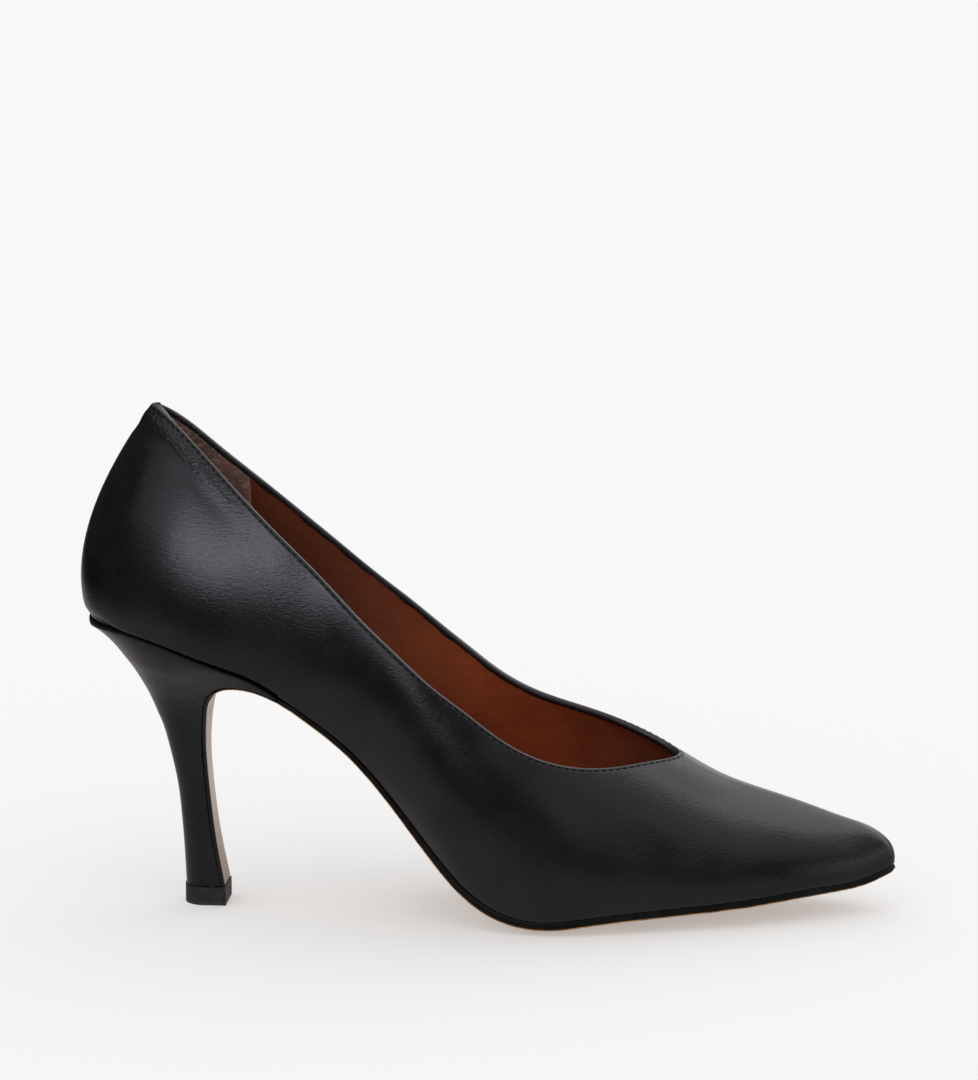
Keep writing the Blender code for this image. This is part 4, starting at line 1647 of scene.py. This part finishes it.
@dataclass
class Sole:
    """The leather sole with its black edge, turned down over the breast of the heel."""

    last: Last
    breast: BreastLine
    place: Vector
    inset: Span = (0.4, 0.35)
    tip_inset: Span = (236.0, 249.0)
    tip_round: float = 0.3
    tip_round_start: float = 248.6
    corner_inset: float = 0.55
    gap: float = 0.3
    swell: float = 0.28
    crown_share: float = 0.6
    flap: float = 1.3
    tip_turn: float = 0.990
    stations: int = 190
    flap_stations: int = 110
    cover_start: float = 3.4
    steps: int = 30
    edge_steps: tuple[Span, ...] = (
        (-0.13, -0.45), (-0.02, 0.15), (0.18, 0.70), (0.42, 1.0), (0.62, 1.0), (0.79, 0.85), (0.97, 0.35),
    )

    def forepart(self) -> list[np.ndarray]:
        """Lay out the forepart.

        Returns:
            Its upper and lower points and its outer and inner ways out, by station.
        """
        last = self.last
        turns = np.linspace(self.tip_turn, float(last.turn(np.array(SOLE_LEAVES_LAST))), self.stations)
        x = last.station(turns)
        below = -last.raised(x)[:, None]
        inset = self.inset[0] + (self.inset[1] - self.inset[0]) * smooth(x, *self.tip_inset)
        top = last.across(turns, inset, self.steps) + self.gap * below
        bulge = 1 - np.linspace(-1, 1, self.steps + 1)[None, :, None] ** 2
        thick = last.sole(x)[:, None, None] + self.crown_share * last.camber(x)[:, None, None] * bulge
        thick *= 1 - self.tip_round * smooth(x, self.tip_round_start, last.toe)[:, None, None]
        low = top + thick * below
        low[..., 2] = np.maximum(low[..., 2], 0.0)
        ways = [np.column_stack([last.outward(turns, side), np.zeros_like(x)]) for side in Side]
        return [top, low, *ways]

    def breast_flap(self) -> list[np.ndarray]:
        """Lay out the flap on the breast of the heel.

        Returns:
            Its upper and lower points and its outer and inner ways out, by station.
        """
        rows = np.linspace(0, FLAP_END, self.flap_stations)
        half = self.breast.half(rows)[:, None] * np.linspace(-1, 1, self.steps + 1)[None]
        faces = []
        for depth in (self.flap, 0.0):
            x, z = (np.broadcast_to(at[:, None], half.shape) for at in self.breast.point(rows, depth).T)
            faces.append(np.stack([x, half, z], axis=2))
        ways = [np.tile((0.0, float(side), 0.0), (len(rows), 1)) for side in Side]
        return [*faces, *ways]

    def rings(self) -> np.ndarray:
        """Draw the sole's sections.

        Returns:
            Points of the closed sections, by station and place on the section.
        """
        parts = zip(self.forepart(), self.breast_flap())
        top, low, *ways = (np.concatenate(pair) for pair in parts)
        edges, corners = [], low.copy()
        for end, way in zip((0, -1), ways):
            high, fall = top[:, end], low[:, end] - top[:, end]
            edges.append(np.stack([high + h * fall + w * self.swell * way for h, w in self.edge_steps], 1))
            corners[:, end] -= self.corner_inset * way
        return np.concatenate([top, edges[1], corners[:, ::-1], edges[0][:, ::-1]], axis=1)

    def build(self, *finishes: bpy.types.Material) -> bpy.types.Object:
        """Build the sole.

        Args:
            finishes: the materials, in the order of SoleFinish.

        Returns:
            The finished object at the origin.
        """
        skin = Skin("sole")
        index = skin.add(self.rings())
        upper_end = self.steps
        low_start = upper_end + 1 + len(self.edge_steps)
        low_end = low_start + self.steps
        kinds = np.full(index.shape[1], SoleFinish.PAINT)
        kinds[low_start:low_end] = SoleFinish.LEATHER
        kinds[low_start - 2 : low_start] = kinds[low_end : low_end + 2] = SoleFinish.RAW
        kinds = np.tile(kinds, (len(index) - 1, 1))
        covered = kinds[-round(self.flap_stations * (1 - self.cover_start / FLAP_END)) :]
        covered[covered != SoleFinish.LEATHER] = SoleFinish.COVER
        skin.cover(index, kinds, ring=True)
        for ring in (index[0], index[-1]):
            faces = [ring[: upper_end + 1], ring[low_start : low_end + 1][::-1]]
            skin.cover(np.stack(faces, axis=1), SoleFinish.PAINT)
            for chain in (ring[upper_end : low_start + 1], np.append(ring[low_end:], ring[0])):
                half = len(chain) // 2 + 1
                skin.cover(np.stack([chain[:half], chain[::-1][:half]], axis=1), SoleFinish.PAINT)
        return skin.piece(self.place, finishes)


class HeelFinish(IntEnum):
    """The finishes of the heel's faces, in the order of its materials."""

    COVER = 0
    PAINT = 1


@dataclass
class Heel:
    """The covered heel with the black rim of its seat, and the rubber top piece under it."""

    last: Last
    breast: BreastLine
    place: Vector
    clear: float = 1.36
    round_share: float = 0.55
    side_points: int = 30
    levels: int = 150
    tip_height: float = 5.8
    tip_gap: float = 0.3
    tip_margin: float = 0.3
    tip_reach: float = 1.5
    tip_bevel: float = 0.5
    tip_bevel_steps: int = 3
    tip_bevel_angle: float = 40.0
    rim_height: Span = (3.0, 0.5)
    rim_lift: Span = (2.4, 1.15)
    rim_swell: Span = (0.28, 0.12)
    rim_back: float = 0.11
    rim_fade: float = 0.35
    rim_steps: tuple[Span, ...] = (
        (-2.4, 0.0), (-0.6, 0.02), (0.35, 0.10), (0.85, 0.28),
        (1.0, 0.48), (0.85, 0.70), (0.35, 0.90), (-0.5, 1.0),
    )
    rim_clear: float = 0.3

    def __post_init__(self) -> None:
        """Fit the splines through the levels."""
        rows = np.arange(len(LEVELS), dtype=float)
        self.bottom = rows[-1]
        names = ("x", "z", "breast", "half", "seat")
        self.x, self.z, self.reach, self.half, self.seat = splines(LEVELS, rows, *names)

    def ring(self, row: float, swell: float = 0.0, fall: float | None = None) -> np.ndarray:
        """Return one closed section.

        Args:
            row: the level, counted down from the seat.
            swell: how far the section stands out, as a share of the rim's own swell on the rim.
            fall: how far down the rim a section of the rim lies, from 0 at its top to 1.

        Returns:
            Points from the rear round the outer side to the breast and back.
        """
        round_part = self.round_share * (1 - np.cos(np.linspace(0, math.pi / 2, self.side_points)))
        share = np.concatenate([round_part, np.linspace(self.round_share, 1, self.side_points // 2 + 1)[1:]])
        fullness = np.sqrt(1 - (1 - np.minimum(share / self.round_share, 1)) ** 2)
        front_x, front_z = self.breast.point(self.reach(row), self.clear)
        seat_front = self.breast.point(self.reach(0.0), self.clear)[0]
        seat_x = self.last.rear + share * (seat_front - self.last.rear)
        seat_z = self.last.seam(seat_x)
        bow = seat_z - (seat_z[0] + share * (seat_z[-1] - seat_z[0]))
        likeness = float(np.clip(self.seat(row), 0, 1))
        rear = np.exp(-share / self.rim_back)
        tall, lift, proud = (
            side + (back - side) * rear for back, side in (self.rim_height, self.rim_lift, self.rim_swell)
        )
        if fall is not None:
            swell = swell * proud
        x = self.x(row) + share * (front_x - self.x(row))
        x = x - swell * np.maximum(1 - share / self.round_share, 0.0)
        z = self.z(row) + share * (front_z - self.z(row)) + likeness * bow
        if fall is not None:
            z = z + (1 - self.rim_fade * share) * (lift - fall * tall)
        sides = {}
        for side in Side:
            plain = self.half(row) * fullness
            half = plain + likeness * (self.last.half[side](self.last.turn(seat_x)) - plain)
            sides[side] = np.column_stack([x, side * np.maximum(half + swell * fullness, 0.0), z])
        middle = (sides[Side.OUTER][-1] + sides[Side.INNER][-1]) / 2
        return np.vstack([sides[Side.OUTER], middle, sides[Side.INNER][:0:-1]])

    def build_cover(self, cover: bpy.types.Material, paint: bpy.types.Material) -> bpy.types.Object:
        """Build the leather-covered heel and the painted rim that closes it under the upper.

        Args:
            cover: the covering's finish.
            paint: the rim's finish.

        Returns:
            The finished object at the origin.
        """
        rings = [self.ring(0.0, swell, fall) for swell, fall in self.rim_steps]
        rim = len(rings)
        rows = np.linspace(self.rim_clear, self.bottom, self.levels)
        rings += [self.ring(0.0, 0.0, 1.0), *(self.ring(float(row)) for row in rows)]
        rings[-1][:, 2] = self.tip_height + self.tip_gap
        skin = Skin("heel_cover")
        index = skin.add(np.stack(rings))
        kinds = np.full((len(rings) - 1, 1), HeelFinish.COVER)
        kinds[:rim] = HeelFinish.PAINT
        skin.cover(index, kinds, ring=True)
        skin.cap(index[0], HeelFinish.PAINT)
        skin.cap(index[-1], HeelFinish.COVER)
        return skin.piece(self.place, [cover, paint])

    def build_top_piece(self, rubber: bpy.types.Material) -> bpy.types.Object:
        """Build the rubber top piece, with its edges rounded off.

        Args:
            rubber: the rubber's finish.

        Returns:
            The finished object at the origin.
        """
        foot = self.ring(self.bottom, self.tip_margin)
        front = foot[:, 0] > foot[:, 0].max() - MM
        foot[:, 0] = np.where(front, foot[:, 0] + self.tip_reach, foot[:, 0])
        skin = Skin("top_piece")
        levels = (self.tip_height, 0.0)
        index = skin.add(np.stack([foot * (1, 1, 0) + (0, 0, height) for height in levels]))
        skin.cover(index, ring=True)
        for ring in index:
            skin.cap(ring)
        piece = skin.piece(self.place, [rubber])
        bevel = piece.modifiers.new("worn_edges", "BEVEL")
        bevel.width = self.tip_bevel * MM
        bevel.segments = self.tip_bevel_steps
        bevel.limit_method = "ANGLE"
        bevel.angle_limit = math.radians(self.tip_bevel_angle)
        return piece


def hang(lamp: bpy.types.Light, lit: bpy.types.Collection) -> bpy.types.Object:
    """Add a lamp that lights one collection.

    Args:
        lamp: the lamp.
        lit: what it lights.

    Returns:
        The lamp's object.
    """
    made = add_object(lamp.name, lamp)
    made.light_linking.receiver_collection = lit
    return made


@dataclass(frozen=True)
class SoftLamp:
    """One large soft lamp far from the shoe."""

    name: str
    azimuth: float
    elevation: float
    spread: float
    radiance: float

    def build(self, lit: bpy.types.Collection) -> None:
        """Add a sun with a wide disc, its azimuth counted from the camera's side to the toe's.

        Args:
            lit: what it lights.
        """
        lamp = bpy.data.lights.new(self.name, "SUN")
        lamp.angle = math.radians(self.spread)
        lamp.energy = self.radiance * math.pi * math.sin(lamp.angle / 2) ** 2
        tilt, swing = math.radians(90 - self.elevation), math.radians(self.azimuth)
        hang(lamp, lit).rotation_euler = Euler((tilt, 0.0, swing))


@dataclass(frozen=True)
class PanelLamp:
    """A soft panel near the shoe, which lights the shoe and leaves the paper even."""

    name: str
    place: Triple
    aim: Triple
    size: Span
    radiance: float
    roll: float = 0.0
    tint: Triple = (1.0, 0.99, 1.04)

    def build(self, lit: bpy.types.Collection) -> None:
        """Add the panel and turn it to its aim.

        Args:
            lit: what it lights.
        """
        lamp = bpy.data.lights.new(self.name, "AREA")
        lamp.shape = "RECTANGLE"
        lamp.size, lamp.size_y = self.size
        lamp.energy = self.radiance * math.pi * self.size[0] * self.size[1]
        lamp.color = self.tint
        made = hang(lamp, lit)
        made.location = self.place
        towards = Vector(self.aim) - Vector(self.place)
        rolled = Quaternion((0.0, 0.0, 1.0), math.radians(self.roll))
        made.rotation_euler = (towards.to_track_quat("-Z", "Y") @ rolled).to_euler()


@dataclass
class Studio:
    """Pale paper floor, soft lamps, dim room light and the camera.

    The leather mirrors a card on the ground that runs into shade in front of the shoe. The card shows in
    gloss alone, and the floor everywhere else.
    """

    place: Vector
    eye: Triple = (204.0, -1101.7, 321.1)
    pitch: float = 10.56
    azimuth: float = 4.1
    lens: float = 122.96
    sensor: float = 36.0
    view_end: float = 100.0
    floor_half: float = 30.0
    unmirrored: tuple[str, ...] = ("camera", "diffuse", "transmission", "volume_scatter", "shadow")
    room: float = 0.05
    lamps: tuple[SoftLamp, ...] = (
        SoftLamp("overhead", azimuth=0.0, elevation=90.0, spread=76.0, radiance=1.0),
        SoftLamp("rear", azimuth=118.0, elevation=42.0, spread=62.0, radiance=2.1),
        SoftLamp("fore", azimuth=62.0, elevation=44.0, spread=48.0, radiance=0.8),
        SoftLamp("backdrop", azimuth=178.0, elevation=18.0, spread=50.0, radiance=1.1),
    )
    panels: tuple[PanelLamp, ...] = (
        PanelLamp("key", (-0.135, -0.32, 0.31), (-0.11, -0.02, 0.12), (0.32, 0.24), 1.2, roll=-38.0),
        PanelLamp("core", (-0.092, -0.32, 0.228), (-0.085, -0.02, 0.11), (0.15, 0.090), 5.7, roll=-38.0),
        PanelLamp("tail", (-0.062, -0.32, 0.150), (-0.07, -0.02, 0.10), (0.06, 0.06), 3.0, roll=-45.0),
        PanelLamp("wing", (-0.36, -0.25, 0.37), (-0.105, -0.02, 0.115), (0.17, 0.15), 0.85),
        PanelLamp("low", (0.17, -0.27, 0.135), (0.05, -0.02, 0.05), (0.10, 0.13), 0.7),
        PanelLamp("side", (0.34, -0.10, 0.032), (0.12, -0.01, 0.025), (0.16, 0.055), 1.5),
        PanelLamp("rim", (0.36, 0.06, 0.050), (0.125, 0.0, 0.02), (0.16, 0.08), 1.3),
    )
    paper_light: SoftLamp = SoftLamp("paper_light", azimuth=0.0, elevation=90.0, spread=170.0, radiance=1.0)

    def build(self, pieces: Sequence[bpy.types.Object]) -> None:
        """Set up floor, light and camera.

        Args:
            pieces: the shoe's pieces.
        """
        shoe, paper = (bpy.data.collections.new(name) for name in ("shoe", "paper"))
        for piece in pieces:
            shoe.objects.link(piece)
        paper.objects.link(self._ground("floor", StudioPaper("studio_paper")))
        paper.objects.link(self._ground("table_card", StudioPaper("table_card", shaded=True)))
        for lamp in (*self.lamps, *self.panels):
            lamp.build(shoe)
        self.paper_light.build(paper)
        self._room()
        self._camera()
        bpy.context.scene.view_settings.view_transform = "Standard"

    def _ground(self, name: str, paper: StudioPaper) -> bpy.types.Object:
        """Lay a sheet of paper on the ground, for gloss alone if it is shaded.

        Args:
            name: the sheet's name.
            paper: its finish.

        Returns:
            The sheet.
        """
        half = self.floor_half
        mesh = bpy.data.meshes.new(name)
        corners = [(-half, -half, 0), (half, -half, 0), (half, half, 0), (-half, half, 0)]
        mesh.from_pydata(corners, [], [(0, 1, 2, 3)])
        mesh.materials.append(paper.material())
        sheet = add_object(name, mesh)
        sheet.visible_glossy = paper.shaded
        for rays in self.unmirrored:
            setattr(sheet, "visible_" + rays, not paper.shaded)
        return sheet

    def _room(self) -> None:
        """Give the room its even light."""
        world = bpy.data.worlds.new("studio_room")
        world.use_nodes = True
        sky = world.node_tree.nodes["Background"]
        sky.inputs["Color"].default_value = rgba((1.0, 1.0, 1.0))
        sky.inputs["Strength"].default_value = self.room
        bpy.context.scene.world = world

    def _camera(self) -> None:
        """Set the camera where the photograph was taken from."""
        data = bpy.data.cameras.new("camera")
        data.sensor_fit = "VERTICAL"
        data.sensor_height = self.sensor
        data.lens = self.lens
        data.clip_end = self.view_end
        camera = add_object("camera", data)
        camera.location = Vector(self.eye) * MM + self.place
        camera.rotation_euler = Euler((math.radians(90 - self.pitch), 0.0, math.radians(self.azimuth)))
        bpy.context.scene.camera = camera


def last_origin() -> Vector:
    """Place the last in the frame, from the top piece's place.

    Returns:
        The last's own origin, in metres.
    """
    low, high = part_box("heel_tip")
    rear = (LEVELS[-1].x - Heel.tip_margin) * MM
    return Vector((low.x - rear, (low.y + high.y) / 2, 0.0))


def main() -> None:
    """Build the shoe's pieces in order, and the studio around them."""
    logging.basicConfig(level=logging.INFO, format="%(name)s %(message)s")
    place = last_origin()
    last, breast = Last(), BreastLine()

    calf = SmoothCalf("black_calf_upper", edge_mark=EDGE_MARK).material()
    cover = SmoothCalf("black_heel_cover", pores_per_metre=2600.0, grain=0.012).material()
    tan = LiningLeather("tan_lining").material()
    sock_tan = LiningLeather("tan_sock_leather").material()
    suede = SuedeGrip("brown_suede_grip").material()
    thread = Thread("black_thread").material()
    paint = EdgePaint("black_edge_paint").material()
    beige = SoleLeather("beige_sole_leather").material()
    raw = RawEdge("raw_sole_corner").material()
    rubber = TopPieceRubber("black_top_piece_rubber").material()

    upper = Upper(last, place)
    sole = Sole(last, breast, place)
    heel = Heel(last, breast, place)
    pieces = [
        dress(upper.build_leather(calf), Slot.CALF, "upper"),
        dress(upper.build_lining(tan), Slot.SOCK),
        dress(upper.build_grip(suede), Slot.SOCK),
        *[dress(row, Slot.CALF) for row in upper.build_stitches(thread)],
        dress(Sock(last, place).build(sock_tan), Slot.SOCK, "insole"),
        dress(sole.build(beige, paint, raw, cover), Slot.SOLE, "outsole"),
        dress(heel.build_cover(cover, paint), Slot.HEEL, "heel"),
        dress(heel.build_top_piece(rubber), Slot.RUBBER, "heel_tip"),
    ]
    Studio(place).build(pieces)


if __name__ == "__main__":
    main()
